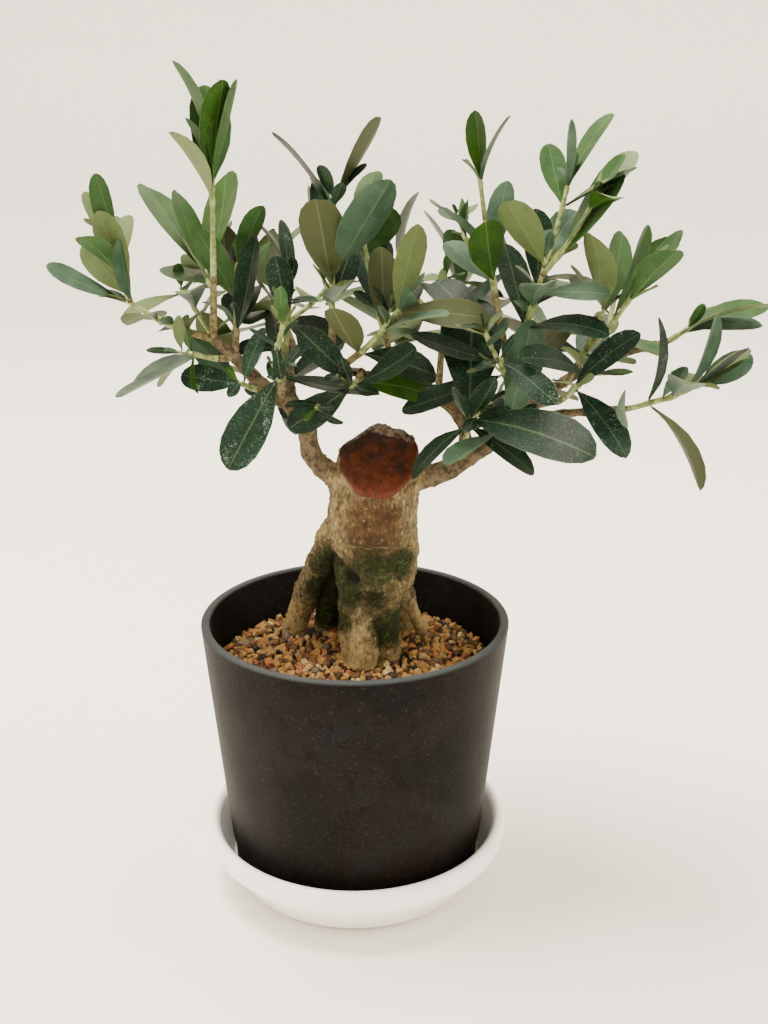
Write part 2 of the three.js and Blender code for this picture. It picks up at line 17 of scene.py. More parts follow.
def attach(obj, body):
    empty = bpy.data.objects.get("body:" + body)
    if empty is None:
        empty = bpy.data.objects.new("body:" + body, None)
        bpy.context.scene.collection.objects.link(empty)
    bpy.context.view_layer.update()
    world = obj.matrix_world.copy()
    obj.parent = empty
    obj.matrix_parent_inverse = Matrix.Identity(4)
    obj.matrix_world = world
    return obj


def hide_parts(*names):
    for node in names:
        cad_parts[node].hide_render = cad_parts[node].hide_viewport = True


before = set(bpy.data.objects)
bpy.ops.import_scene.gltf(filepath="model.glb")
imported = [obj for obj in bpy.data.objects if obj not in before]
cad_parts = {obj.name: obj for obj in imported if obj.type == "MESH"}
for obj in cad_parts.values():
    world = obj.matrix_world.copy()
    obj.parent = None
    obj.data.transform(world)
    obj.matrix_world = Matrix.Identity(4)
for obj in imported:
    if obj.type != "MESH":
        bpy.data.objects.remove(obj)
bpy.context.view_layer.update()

MM = 0.001
UP = np.array([0.0, 0.0, 1.0])

# What is turned about Z: its profile of (radius, height), and how far its corners are rounded
TURNED = {
    "drip_saucer": ((
        (0, 0), (34.5, 0), (37.9, 2.6), (40.5, 7.5), (42.7, 13.6), (46.6, 13.6), (47.5, 16),
        (47.2, 19.2), (45.8, 20.4), (44.5, 20.4), (43.4, 19.2), (41.2, 12), (39.4, 5.4),
        (37.6, 4), (0, 4)), 0.6),
    "round_pot": ((
        (0, 4), (36.8, 4), (38.2, 5.4), (38.6, 14.3), (39.3, 15), (46.4, 86.5), (43.7, 86.5),
        (35.8056, 7), (0, 7)), 0.7),
    # the dark bed under the stones: the pot hides all but its top
    "potting_grit": ((
        (0, 61.4), (40.8076, 61.4), (42.0389, 71), (29, 73.8), (0, 73.8)), 0.3),
    # a pale floor that curves up all round, so that no view shows its end
    "studio_floor": (((0, 0), (1300, 0), (1700, 160), (1900, 700), (1900, 2200)), 120),
}
TURNED_SEGMENTS = 128

# The gravel lies in a low mound, level inside mound_radius and falling to edge_radius. Its
# stones are about 2 to 5 mm across. So many places are tried for them, and one that is
# nearer to another than the gap, as a share of both sizes, is left out.
GRAVEL = {
    "level": 76,
    "edge_level": 73.4,
    "mound_radius": 29,
    "edge_radius": 41.7,
    "strewn_radius": 41.3,
    "tries": 46000,
    "size": (1.1, 2.5),
    "shapes": 9,
    "corners": 11,
    "flatness": (0.7, 1.1),
    "gap": 0.6,
    "sunk": 1.7,
    "uneven": (-0.4, 0.4),
    "tilt": (-0.8, 0.8),
    "seed": 11,
}

# The stump, from the gravel to its cuts. Girth is the plain radius at even steps up.
TRUNK = {
    "ground": 77,
    "top": 149,
    "foot": (4, 0.5),
    "neck": (6.5, -1.5),
    "neck_height": 120,
    "girth": (7.5, 9, 10.6, 11.6, 11.7, 11.6, 11.6, 11),
    "buried": 4,
    "voxel": 0.5,
    "melts": 3,
}
# The root legs: the route from inside the stump into the gravel, and the radius at both ends
LEGS = (
    (((-1.5, -1, 121), (-7, 1, 111.5), (-11.2, 3.5, 101), (-15.4, 8, 90), (-20.5, 15, 75)),
     (4.7, 3.4)),
    (((0, -5, 112), (-0.5, -7, 100), (-0.7, -7.2, 88), (-0.2, -5.8, 75)), (4, 3.8)),
    (((3.5, -4, 100), (3.2, -8.4, 94), (3, -11, 86), (2.9, -10.8, 75)), (3.2, 4.4)),
    (((9, -6, 103), (8.6, -8.8, 94), (8.9, -6.5, 84), (9.4, -4, 75)), (5, 4.6)),
    (((13, -1, 100), (16, 2, 90), (19, 6, 82), (21.5, 10, 75)), (3.2, 1.3)),
    (((8, 5, 102), (11, 10, 90), (14, 15, 80), (16, 18, 74)), (5, 3)),
    (((2, 6, 104), (0, 11, 92), (-3, 16, 80), (-4, 18, 74)), (5, 3.4)),
    (((-3, 5, 113), (-6, 9, 101), (-8.5, 13, 88), (-11, 17, 75)), (4.6, 3.6)),
)
# Where the stump bulges: the way, the height, how far out, half its width and its spread
SWELLINGS = (
    (178, 129, 1.2, 50, 6),
    (-8, 129, 1.2, 50, 6),
    (-4, 103, 2, 60, 12),
    (188, 118, 2.6, 50, 8),
    (180, 140, -1.6, 60, 5),
    (278, 107.5, -1.4, 60, 2.6),
    (284, 101.5, 3.8, 60, 4),
)
# The fold on the front of the stump that ends in a pit: both ends, across and up
FOLD = ((-7.5, 108), (-0.5, 102.5))
# The shares that the bark's mesh carries at its corners for its colours, some of them painted shade
BARK_SHARES = ("moss_and_shade", "painted_crease_shade", "young", "brown", "wart")
# The slots of the bark's finishes that its cuts have: under wound paste, or weathered
PASTED, WEATHERED = 1, 2
# The planes that the stump is cut by: a point, the slopes forward and right, and the slot
CUTS = (
    ((8.5, -13, 128.9), 46, 3, PASTED),
    ((6.3, 0, 144.3), 0, 12, WEATHERED),
    ((-0.5, 0, 141.9), -12, -36, PASTED),
)
# How far the relief of the bark stands out, or goes in, by what it is
RELIEF = {
    "plates": 0.75,
    "grain": 0.4,
    "warts": 0.5,
    "wrinkles": 0.55,
    "lip": 0.7,
    "fold": 3.2,
    "young": 0.16,
    "young_grain": 0.06,
    "sawn": 0.25,
    "split": 0.6,
}
LIP_HEIGHT = 112.5
SCAR = {"rise": 0.45, "apart": 6.3}

# Each limb: its route from inside what carries it to its tip, and its radius at both ends
LIMBS = {
    "bough_left": (
        ((2, -2, 128), (-6, -3, 131.5), (-12, -4.5, 138.5), (-13.5, -5, 147),
         (-18, -5, 153), (-24, -5, 157), (-32, -4, 165), (-39, -3, 171)),
        (3.5, 1.6),
    ),
    "bough_right": (
        ((13, -2, 128.5), (20, -3.5, 131.3), (27, -6.5, 134.8), (34, -8, 140),
         (42, -8, 145.5), (49, -6.5, 150)),
        (3.8, 2),
    ),
    "stub_left": (((-14, -5, 146.5), (-10.5, -5.5, 149), (-9, -6, 155)), (2, 1.3)),
    "bough_centre": (
        ((32, -7, 137.5), (31, -2, 147), (24, 1, 154), (13, 1, 157.5),
         (2, -0.5, 161), (-7, -2, 163)),
        (1.9, 1.3),
    ),
    "bough_right_low": (((49, -6.5, 150), (60, -5, 151), (70, -5, 152)), (1.6, 1.1)),
    "bough_right_high": (((48, -7, 149), (46, -8.5, 157), (43, -8, 166)), (1.7, 1.3)),
    "bough_right_back": (
        ((44, -7.5, 146.5), (52, 2, 152), (63, 8, 159), (76, 10, 165), (87, 10, 168)),
        (1.9, 1.3),
    ),
    "bough_back_left": (
        ((-15, -5, 148.5), (-18, 4, 152), (-20, 16, 157), (-20, 27, 164)),
        (1.9, 1.2),
    ),
    "bough_back_right": (
        ((40, -8, 143.5), (38, 4, 148), (34, 17, 154), (30, 29, 162)),
        (2, 1.2),
    ),
}

# The leaf of an olive, by the solids' rule. Only the scene's leaves have what comes after
# the bud: half the midrib's width and its rise below, a wavy margin and a twist.
LEAF = {
    "slimness": 0.42,
    "visible_width": 0.93,
    "thick": 0.5,
    "fold": 10,
    "bud_size": 0.4,
    "bud_lean": 0.7,
    "bud_place": 0.985,
    "vein": 0.13,
    "vein_rise": 0.2,
    "wave": (0.1, 0.35),
    "waves": (3, 7),
    "twist": (-0.25, 0.25),
}
CHANCE = {
    "round": (-40, 40),
    "lean": (-24, 24),
    "length": (0.82, 1.12),
    "width": (0.85, 1.15),
    "bow": (-50, 20),
    "roll": (-45, 45),
}
# A twig's radii and sag, how far its joints stand out, and its share of grey-tan wood
TWIG = {
    "stem": 1.15,
    "side": 0.85,
    "tip": 0.55,
    "sag": 0.06,
    "joint_rise": 0.2,
    "joint_spread": 1.1,
    "woody_stem": 0.4,
    "woody_side": 0.1,
}

# The leaf's own outline: how far along, and the half width as a share of its widest
OUTLINE = (
    (0, 0.07), (0.06, 0.075), (0.15, 0.27), (0.28, 0.6), (0.43, 0.87), (0.6, 0.99),
    (0.76, 0.96), (0.88, 0.77), (0.96, 0.46), (1, 0.1),
)
# The side that the light comes from. Leaves turn their upper sides to it, but for a share.
LIGHT_SIDE = (-0.1, -0.75, 0.65)
TURNED_OVER = 0.22
SECOND_TONE = 0.35  # the share of a shoot's leaves that have its second tone

# The masses of foliage. Each begins with its stem, and its side shoots follow. A shoot is
# where it starts (a place, or a share of the way up the stem), its tip, where its pairs of
# leaves sit as shares of its length, the leaves' length and their lean at the first and the
# last pair, the turn of the first pair and the seed. Then come the tones that most and the
# rest of its leaves have, and the seed that deals them.
MASSES = {
    "spray_left_outer": (
        ((-39, -3, 171), (-62, -6, 182), (0.3, 0.62, 0.95),
         (22, 23), (102, 34), 165, 5560, ("cool", "old", 55)),
        (0.96, (-66, -5, 200), (0.1, 0.4, 0.8), (23, 19), (21, 42), 155, 5955, ("cool", "grown", 248)),
    ),
    "spray_left_tall": (
        ((-39, -3, 171), (-37, -6, 217), (0.82, 0.89, 0.96),
         (26, 29), (2, 5), 190, 53395, ("grown", "fresh", 68)),
        (0.3, (-42, 4, 189), (0.4, 0.9), (32, 39), (28, 12), 265, 18111, ("grown", "fresh", 4)),
    ),
    "spray_left_low": (
        ((-33, -4, 166), (-44, -9, 168), (0.9,), (29, 31), (56, 104), 265, 44863, ("cool", "fresh", 0)),
    ),
    "spray_left_under": (
        ((-24, -5, 157), (-31, -10, 160), (0.9,), (19, 21), (59, 82), 10, 38313, ("dusty", "fresh", 4)),
    ),
    "spray_left_inner": (
        ((-33, -4, 166), (-33, 6, 191), (0.25, 0.6, 0.95),
         (26, 18), (26, 22), 295, 46538, ("old", "grown", 3)),
    ),
    "spray_left_core": (
        ((-21, -5, 155), (-18, 8, 185), (0.4, 0.7, 0.95), (19, 20), (72, 8), 5, 33678, ("old", "dusty", 3)),
    ),
    "spray_left_front": (
        ((-20, -6, 155), (-20, -15, 172), (0.45,), (34, 28), (113, 135), 35, 33420, ("old", "dusty", 2)),
        (0.9, (-18, -15, 178), (0.9,), (12, 14), (24, 51), 115, 26575, ("fresh", "grown", 6)),
    ),
    "sprig_stub": (
        ((-9, -6, 154), (-10, -9, 153), (0.8,), (11, 13), (64, 90), 115, 39123, ("old", "fresh", 4)),
    ),
    "spray_centre_left": (
        ((-6, -2, 162.5), (-6, 3, 207), (0.5, 0.6, 0.97),
         (33, 26), (41, 40), 40, 24696, ("old", "cool", 74)),
        (0.3, (-6, -4, 185), (0.6,), (24, 23), (52, 79), 275, 31399, ("grown", "old", 1)),
    ),
    "spray_centre_front": (
        ((-5, -2, 162), (13, -12, 181), (0.35, 0.72, 0.95),
         (26, 29), (81, 25), 180, 46526, ("cool", "old", 314)),
    ),
    "spray_centre_back": (
        ((13, 1, 157), (2, 9, 199), (0.45, 0.95), (25, 22), (34, 5), 110, 2941, ("old", "fresh", 0)),
    ),
    "spray_middle": (
        ((43, -8, 165), (34, -4, 215), (0.45, 0.55, 0.97),
         (24, 20), (29, 5), 280, 29062, ("fresh", "cool", 27)),
        (0.5, (30, -2, 200), (0.9,), (13, 8), (43, 26), 80, 40141, ("grown", "fresh", 0)),
    ),
    "spray_right_tall": (
        ((44, -8.5, 165.5), (52, -10, 194), (0.35, 0.55, 0.7, 0.95),
         (26, 23), (56, 40), 140, 42680, ("cool", "old", 80)),
        (0.93, (57, -8, 213), (0.75, 0.97), (23, 22), (62, 5), 320, 44623, ("cool", "grown", 12)),
        (0.86, (63, -14, 209), (0.3, 0.9), (28, 20), (13, 24), 155, 26539, ("grown", "fresh", 0)),
    ),
    "spray_right_mid": (
        ((60, 4, 157), (69, -4, 180), (0.45, 0.95), (22, 30), (72, 16), 150, 16799, ("grown", "dusty", 112)),
        (0.5, (75, -10, 184), (0.6, 0.95), (26, 25), (1, 33), 320, 12116, ("grown", "fresh", 2)),
    ),
    "spray_right_high": (
        ((86, 10, 167.5), (95, 8, 173), (0.6, 0.95), (33, 21), (36, 43), 190, 45007, ("grown", "cool", 0)),
    ),
    "spray_right_end": (
        ((70, -5, 152), (86, -7, 156), (0.22, 0.75), (28, 30), (89, 42), 75, 19170, ("cool", "dusty", 19)),
        (0.8, (95, -8, 160), (0.45, 0.8, 0.97), (29, 18), (51, 8), 270, 6379, ("cool", "old", 54)),
    ),
    "spray_right_low": (
        ((58, 1, 153), (61, -13, 161), (0.9,), (25, 18), (50, 68), 85, 16903, ("dusty", "fresh", 0)),
        (0.3, (66, -4, 162), (0.9,), (30, 31), (64, 69), 245, 10865, ("dusty", "fresh", 0)),
    ),
    "spray_front": (
        ((31, -8, 138), (32, -20, 153), (0.85, 0.97), (25, 37), (102, 63), 190, 13348, ("old", "fresh", 18)),
    ),
    "spray_front_mid": (
        ((44, -9, 159), (40, -18, 169), (0.55, 0.9), (29, 23), (101, 68), 40, 55895, ("dusty", "old", 12)),
        (0.75, (36, -19, 176), (0.8,), (24, 23), (43, 67), 120, 11086, ("old", "fresh", 0)),
    ),
    "spray_back_left": (
        ((-20, 27, 164), (-30, 44, 188), (0.3, 0.62, 0.95),
         (27, 26), (82, 63), 195, 6622, ("grown", "old", 26)),
        (0.3, (-47, 36, 184), (0.4, 0.7, 0.95), (29, 21), (88, 63), 265, 51926, ("grown", "old", 31)),
        (0.25, (-6, 42, 184), (0.4, 0.7, 0.95), (30, 32), (75, 31), 305, 16297, ("grown", "old", 1)),
    ),
    "spray_back_right": (
        ((30, 29, 162), (32, 47, 186), (0.3, 0.62, 0.95),
         (31, 25), (87, 52), 305, 27324, ("grown", "old", 67)),
        (0.3, (54, 40, 182), (0.35, 0.65, 0.95), (31, 23), (69, 52), 260, 26556, ("grown", "old", 75)),
        (0.25, (12, 42, 182), (0.4, 0.7, 0.95), (32, 27), (89, 48), 195, 56085, ("grown", "old", 19)),
    ),
    "spray_back_centre": (
        ((24, 1, 154.5), (26, 18, 186), (0.4, 0.68, 0.95),
         (27, 19), (47, 67), 155, 23983, ("cool", "grown", 24)),
    ),
    "spray_back_far_right": (
        ((70, 8.5, 162.5), (77, 26, 182), (0.35, 0.65, 0.95),
         (24, 22), (93, 36), 330, 38885, ("grown", "fresh", 85)),
    ),
    "spray_back_far_left": (
        ((-30, -4, 163), (-52, 20, 182), (0.5, 0.75, 0.95),
         (28, 20), (79, 61), 350, 51882, ("grown", "cool", 84)),
    ),
    "spray_low_centre": (
        ((2, -1, 161), (0, -9, 159), (0.6, 0.9), (23, 27), (96, 93), 145, 6826, ("old", "fresh", 2)),
    ),
    "spray_low_right": (
        ((42, -8, 145), (44, -19, 151), (0.7, 0.95), (28, 20), (68, 103), 60, 4919, ("cool", "old", 4)),
    ),
    "spray_low_back": (
        ((37, 10, 150), (40, 20, 148), (0.6, 0.95), (26, 24), (49, 77), 300, 27042, ("old", "dusty", 76)),
    ),
    "spray_low_back_left": (
        ((-19, 12, 155.5), (-24, 22, 152), (0.6, 0.95), (25, 28), (62, 91), 90, 18411, ("old", "dusty", 78)),
    ),
}


def linear(hex_value):
    """An sRGB hex value as the linear colour that a shader takes."""
    parts = [int(hex_value[i:i + 2], 16) / 255 for i in (1, 3, 5)]
    return (*[c / 12.92 if c <= 0.04045 else ((c + 0.055) / 1.055) ** 2.4 for c in parts], 1)


def finish(name, colour, roughness, **shader):
    """A new material: its plain colour, its roughness and other settings of its shader."""
    material = bpy.data.materials.new(name)
    material.use_nodes = True
    material.diffuse_color = linear(colour)
    principled = material.node_tree.nodes["Principled BSDF"]
    principled.inputs["Base Color"].default_value = linear(colour)
    principled.inputs["Roughness"].default_value = roughness
    for key, value in shader.items():
        principled.inputs[key.replace("_", " ")].default_value = value
    return material


def add(material, kind, inputs, **settings):
    """Adds a shader node. An input takes a number, an sRGB hex value or another's socket."""
    tree = material.node_tree
    made = tree.nodes.new("ShaderNode" + kind)
    for name, value in settings.items():
        setattr(made, name, value)
    wire(material, made, inputs)
    return made


def wire(material, node, inputs):
    """Sets a node's inputs, or links them."""
    for name, value in inputs.items():
        if isinstance(value, bpy.types.NodeSocket):
            material.node_tree.links.new(value, node.inputs[name])
        else:
            node.inputs[name].default_value = (
                linear(value) if isinstance(value, str) else value)


def cloud(material, size_mm, detail=4, roughness=0.55, stretch=(1, 1, 1)):
    """A pattern with no edges, whose features are about that many millimetres wide."""
    at = add(material, "TexCoord", {}).outputs["Object"]
    at = add(material, "Mapping", {"Vector": at, "Scale": stretch}).outputs["Vector"]
    return add(material, "TexNoise", {
        "Vector": at, "Scale": 1 / (size_mm * MM), "Detail": detail,
        "Roughness": roughness}).outputs["Fac"]


def over(material, under, colour, share, low=0.0, high=1.0, most=1.0):
    """Lays a colour over another where a share passes from low to high."""
    amount = add(material, "MapRange", {
        "Value": share, "From Min": low, "From Max": high, "To Min": 0.0, "To Max": most,
    }, interpolation_type="SMOOTHSTEP").outputs["Result"]
    return add(material, "Mix", {0: amount, 6: under, 7: colour},
               data_type="RGBA").outputs[2]


def surface(material, colour, relief, depth_mm):
    """Gives the shader its colour, and a relief too fine for the mesh."""
    bump = add(material, "Bump", {"Height": relief, "Distance": depth_mm * MM})
    wire(material, material.node_tree.nodes["Principled BSDF"],
         {"Base Color": colour, "Normal": bump.outputs["Normal"]})
    return material


def height_of(material):
    """The height above the table, in metres."""
    at = add(material, "TexCoord", {}).outputs["Object"]
    return add(material, "SeparateXYZ", {"Vector": at}).outputs["Z"]


def pot_finish():
    """Injection-moulded polypropylene, charcoal: satin, clouded by dry soil and handling, with a painted
    highlight on the rim's edge.
    """
    material = finish("moulded_charcoal_polypropylene", "#0e0b08", 0.55,
                      Specular_IOR_Level=0.07)
    body = over(material, "#080706", "#130d08", cloud(material, 34, 3), 0.42, 0.6)
    body = over(material, body, "#101010", cloud(material, 17, 5, 0.65), 0.5, 0.66)
    body = over(material, body, "#050404", cloud(material, 5, 5, 0.7), 0.52, 0.66, 0.7)
    grain = cloud(material, 0.9, 3, 0.7)
    body = over(material, body, "#37322b", grain, 0.55, 0.7, 0.4)
    # painted highlight: the rim's top edge is painted a light cool grey where light catches it; towards the
    # foot the body turns a cool grey
    body = over(material, body, "#3b4042", height_of(material), 85.6 * MM, 86.6 * MM, 0.9)
    body = over(material, body, "#1c1f20", height_of(material), 16 * MM, 5 * MM, 0.7)
    return surface(material, body, grain, 0.12)


def saucer_finish():
    """Moulded white polystyrene: smooth and glossy, with painted shade under the lip and inside under the
    pot.
    """
    material = finish("moulded_white_polystyrene", "#fbfaf7", 0.28, IOR=1.59)
    # painted shade: greyer below the lip's height, under the lip and on the floor inside, where the pot
    # shades it
    body = over(material, "#fbfaf7", "#ece8df", height_of(material), 14 * MM, 3 * MM)
    body = over(material, body, "#ded9ce", cloud(material, 6, 5, 0.7), 0.62, 0.75, 0.5)
    return surface(material, body, cloud(material, 9, 2), 0.05)


def soil_finish():
    """Dark grit and dust, seen only in the gaps between the stones."""
    material = finish("damp_potting_grit", "#2a1c10", 0.95)
    grit = cloud(material, 1.4, 4, 0.7)
    body = over(material, "#150d07", "#4b3720", grit, 0.4, 0.65)
    return surface(material, body, grit, 0.6)


def stone_finish(name, colour):
    """A fired clay or pumice granule: matt and porous, its pores full of dark dust."""
    material = finish(name, colour, 0.85)
    pore = cloud(material, 0.8, 4, 0.75)
    body = over(material, colour, "#22150b", pore, 0.52, 0.36, 0.75)
    body = over(material, body, "#c9b07c", pore, 0.56, 0.7, 0.45)
    return surface(material, body, pore, 0.4)


def bark_finish():
    """Old olive bark: dry and grey-tan, pitted and pale-flecked, mossy where it stays damp; painted shade
    darkens its creases, hollows and fold, and adds to the brown on the front of the neck.
    """
    material = finish("old_olive_bark", "#7d6a48", 0.85, Specular_IOR_Level=0.25)
    plate = cloud(material, 3.4, 6, 0.72)
    fine = cloud(material, 1.1, 5, 0.85, (1, 1, 0.6))
    share = {name: add(material, "Attribute", {}, attribute_name=name).outputs["Fac"]
             for name in BARK_SHARES}
    bark = over(material, "#4e3f28", "#82724d", plate, 0.36, 0.62)
    # near the gravel it is bleached, and yellow from the clay
    bark = over(material, bark, "#a99261", height_of(material), 94 * MM, 86 * MM, 0.55)
    bark = over(material, bark, "#1d1309", fine, 0.48, 0.36, 0.85)
    bark = over(material, bark, "#c3b48a", fine, 0.55, 0.65, 0.75)
    # the front of the neck is brown: partly the bark's own brown under the cut, partly painted shade, as the
    # front gets less light than the sides
    brown = over(material, "#35220f", "#513920", plate, 0.36, 0.64)
    brown = over(material, brown, "#86704c", fine, 0.55, 0.66, 0.6)
    brown = over(material, brown, "#1f1308", fine, 0.47, 0.36, 0.7)
    bark = over(material, bark, brown, share["brown"], 0.1, 0.8, 0.95)
    bark = over(material, bark, "#a4946a", share["wart"], 0.3, 1.0, 0.55)
    # where it stays damp it is dark, and moss spreads there and thins out in specks; the same share also
    # paints shade, dark in the hollows, under the fold and by the pit
    spread = add(material, "Math", {
        0: cloud(material, 1.8, 7, 0.9), 1: 2.0, 2: share["moss_and_shade"],
    }, operation="MULTIPLY_ADD").outputs["Value"]
    bark = over(material, bark, "#332c18", spread, 1.05, 1.5, 0.8)
    # on the boughs the bark is younger, closer and greyer
    young = over(material, "#352b1d", "#695c45", cloud(material, 2.2, 6, 0.7), 0.36, 0.62)
    young = over(material, young, "#1c130a", fine, 0.45, 0.32, 0.7)
    bark = over(material, bark, young, share["young"])
    # moss, near black at its darkest, which in the hollows is painted shade
    moss_and_shade = over(material, "#080a02", "#2a320b", cloud(material, 0.8, 4, 0.85), 0.38, 0.62)
    moss_and_shade = over(material, moss_and_shade, "#46601a", cloud(material, 3.2, 5, 0.8), 0.54, 0.7, 0.75)
    bark = over(material, bark, moss_and_shade, spread, 1.38, 1.6, 0.96)
    # painted shade: nearly black in the creases and hollows and along the bottom of the fold
    bark = over(material, bark, "#050402", share["painted_crease_shade"], 0.1, 0.7, 0.97)
    relief = over(material, plate, fine, 0.6)
    return surface(material, bark, relief, 0.7)


def cut_finish():
    """Wound paste brushed on sawn wood: red-brown and glossy, crazed as it dried, with a painted sheen in
    orange patches.
    """
    material = finish("brushed_wound_paste", "#3d1a0a", 0.4, Coat_Weight=0.06,
                      Coat_Roughness=0.25, Specular_IOR_Level=0.2)
    body = over(material, "#200d04", "#421d07", cloud(material, 5, 4, 0.6), 0.36, 0.6)
    # it is brighter red-brown at the lower edge and darker towards the top
    body = over(material, body, "#521f03", height_of(material), 136 * MM, 129 * MM, 0.85)
    body = over(material, body, "#130803", height_of(material), 138 * MM, 143 * MM, 0.8)
    # painted highlight: brighter orange patches stand for the paste's sheen
    body = over(material, body, "#7e4212", cloud(material, 2.4, 4, 0.7), 0.6, 0.75, 0.5)
    at = add(material, "TexCoord", {}).outputs["Object"]
    bent = add(material, "TexNoise", {"Vector": at, "Scale": 1 / (4 * MM)}).outputs["Color"]
    at = add(material, "Mix", {0: 0.0025, 4: at, 5: bent}, data_type="VECTOR").outputs[1]
    craze = add(material, "TexVoronoi", {"Vector": at, "Scale": 1 / (7 * MM)},
                feature="DISTANCE_TO_EDGE").outputs["Distance"]
    body = over(material, body, "#120703", craze, 0.035, 0.0, 0.7)
    return surface(material, body, cloud(material, 3, 4), 0.5)


def old_top_finish():
    """The older cut above it: weathered end wood under dry paste, split and ragged."""
    material = finish("weathered_end_wood", "#4a3526", 0.8, Specular_IOR_Level=0.25)
    grain = cloud(material, 1.6, 5, 0.75)
    body = over(material, "#1c110a", "#6c5848", grain, 0.36, 0.6)
    body = over(material, body, "#b5a898", cloud(material, 2.4, 5, 0.7), 0.58, 0.7)
    return surface(material, body, grain, 1.0)


# The upper side of a blade, by tone: its name, its colour, a deeper one that it is
# mottled with, and its roughness. Young blades are bright and grown ones deep green, cool
# ones have a grey bloom, and the oldest are dark with chalky water marks.
BLADE_TONES = {
    "fresh": ("young_olive_blade", "#27460f", "#1e3a0c", 0.45),
    "grown": ("grown_olive_blade", "#324f27", "#26431f", 0.48),
    "cool": ("bloomed_olive_blade", "#3b523f", "#2c4333", 0.5),
    "old": ("old_olive_blade", "#0f2619", "#0a1a10", 0.42),
    "dusty": ("water_marked_olive_blade", "#173023", "#0e2318", 0.44),
}
# The underside of the same blade is felted, silvery at first and olive drab when old
UNDER_TONES = {
    "fresh": ("young_felted_underside", "#64734b"),
    "grown": ("grown_felted_underside", "#506036"),
    "cool": ("grown_felted_underside", "#506036"),
    "old": ("old_felted_underside", "#3b4224"),
    "dusty": ("old_felted_underside", "#3b4224"),
}


def vein_or_margin(material):
    """1 along a leaf's midrib and along its margin, and less between them."""
    share = add(material, "Attribute", {}, attribute_name="vein").outputs["Fac"]
    return add(material, "Math", {0: share}, operation="ABSOLUTE").outputs["Value"]


def blade_finish(tone):
    """Leathery and waxed: a satin sheen, faint side veins and a paler margin."""
    name, colour, deeper, roughness = BLADE_TONES[tone]
    material = finish(name, colour, roughness, Specular_IOR_Level=0.1)
    blade = over(material, colour, deeper, cloud(material, 6, 3, 0.5), 0.35, 0.65)
    blade = over(material, blade, "#72855a", vein_or_margin(material), 0.88, 1.0, 0.22)
    # fine dust and wax dull it in specks, most on the old ones
    dull = 0.24 if tone in ("old", "dusty") else 0.14
    blade = over(material, blade, "#7d8c74", cloud(material, 0.6, 3, 0.8), 0.5, 0.75, dull)
    relief = cloud(material, 1.2, 3, 0.6)
    if tone == "dusty":
        # lime from hard water dries in specks and rings
        marks = add(material, "Math", {
            0: cloud(material, 0.5, 2, 0.9), 1: cloud(material, 5, 3, 0.7)},
            operation="MULTIPLY").outputs["Value"]
        blade = over(material, blade, "#8b9c8e", marks, 0.32, 0.4, 0.55)
    return surface(material, blade, relief, 0.07)


def underside_finish(tone):
    """Scaly felt under the blade: matt and pale, with the side veins just showing."""
    name, colour = UNDER_TONES[tone]
    known = bpy.data.materials.get(name)
    if known:
        return known
    material = finish(name, colour, 0.65, Specular_IOR_Level=0.25)
    felt = cloud(material, 2.6, 4, 0.6)
    under = over(material, colour, "#353c20", felt, 0.45, 0.75, 0.35)
    under = over(material, under, "#76805a", vein_or_margin(material), 0.88, 1.0, 0.25)
    return surface(material, under, cloud(material, 0.8, 3), 0.06)


def stalk_finish():
    """The leaf's short stalk: smooth and yellow-green."""
    material = finish("pale_olive_stalk", "#5f7440", 0.5)
    streak = cloud(material, 3)
    return surface(material, over(material, "#5f7440", "#87955c", streak, 0.4, 0.6),
                   streak, 0.05)


def stem_finish():
    """A green stem's smooth skin, pale and a little ribbed."""
    material = finish("green_olive_stem", "#768650", 0.55, Specular_IOR_Level=0.3)
    streak = cloud(material, 1.6, 3)
    return surface(material, over(material, "#5c6c3a", "#929c66", streak, 0.36, 0.64),
                   streak, 0.1)


def twig_finish():
    """A year-old twig: greyish tan with fine pores."""
    material = finish("year_old_olive_twig", "#645a3e", 0.7, Specular_IOR_Level=0.25)
    streak = cloud(material, 1.4, 4, 0.7)
    return surface(material, over(material, "#40371f", "#7f7550", streak, 0.34, 0.64),
                   streak, 0.15)


def as_object(name, mesh, materials):
    """A finished mesh as an object at the origin."""
    piece = bpy.data.objects.new(name, mesh)
    bpy.context.scene.collection.objects.link(piece)
    for material in materials:
        mesh.materials.append(material)
    return piece


def mesh_of(name, shape):
    """A bmesh, its faces turned outwards, as a smooth mesh."""
    bmesh.ops.recalc_face_normals(shape, faces=shape.faces)
    mesh = bpy.data.meshes.new(name)
    shape.to_mesh(mesh)
    shape.free()
    mesh.shade_smooth()
    return mesh


def belongs(piece, slot, *nodes):
    """The piece moves with the one body and stands for these nodes of the solids."""
    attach(piece, "root")
    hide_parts(*nodes)


def turned(name, material):
    """A profile from the table, its corners rounded, spun about Z."""
    profile, rounding = TURNED[name]
    shape = bmesh.new()
    corners = [shape.verts.new((r * MM, 0, z * MM)) for r, z in profile]
    for first, second in zip(corners, corners[1:]):
        shape.edges.new((first, second))
    bmesh.ops.bevel(shape, geom=corners[1:-1], offset=rounding * MM, offset_type="OFFSET",
                    segments=4, profile=0.5, affect="VERTICES", material=-1)
    bmesh.ops.spin(shape, geom=shape.verts[:] + shape.edges[:], cent=(0, 0, 0),
                   axis=(0, 0, 1), angle=math.tau, steps=TURNED_SEGMENTS, use_merge=True)
    bmesh.ops.remove_doubles(shape, verts=shape.verts, dist=1e-6)
    mesh = mesh_of(name, shape)
    mesh.set_sharp_from_angle(angle=math.radians(40))
    return as_object(name, mesh, [material])


def mound_height(radius):
    """The height of the gravel's top at a distance from the axis."""
    g = GRAVEL
    if radius <= g["mound_radius"]:
        return g["level"]
    share = (radius - g["mound_radius"]) / (g["edge_radius"] - g["mound_radius"])
    return g["level"] + share * (g["edge_level"] - g["level"])


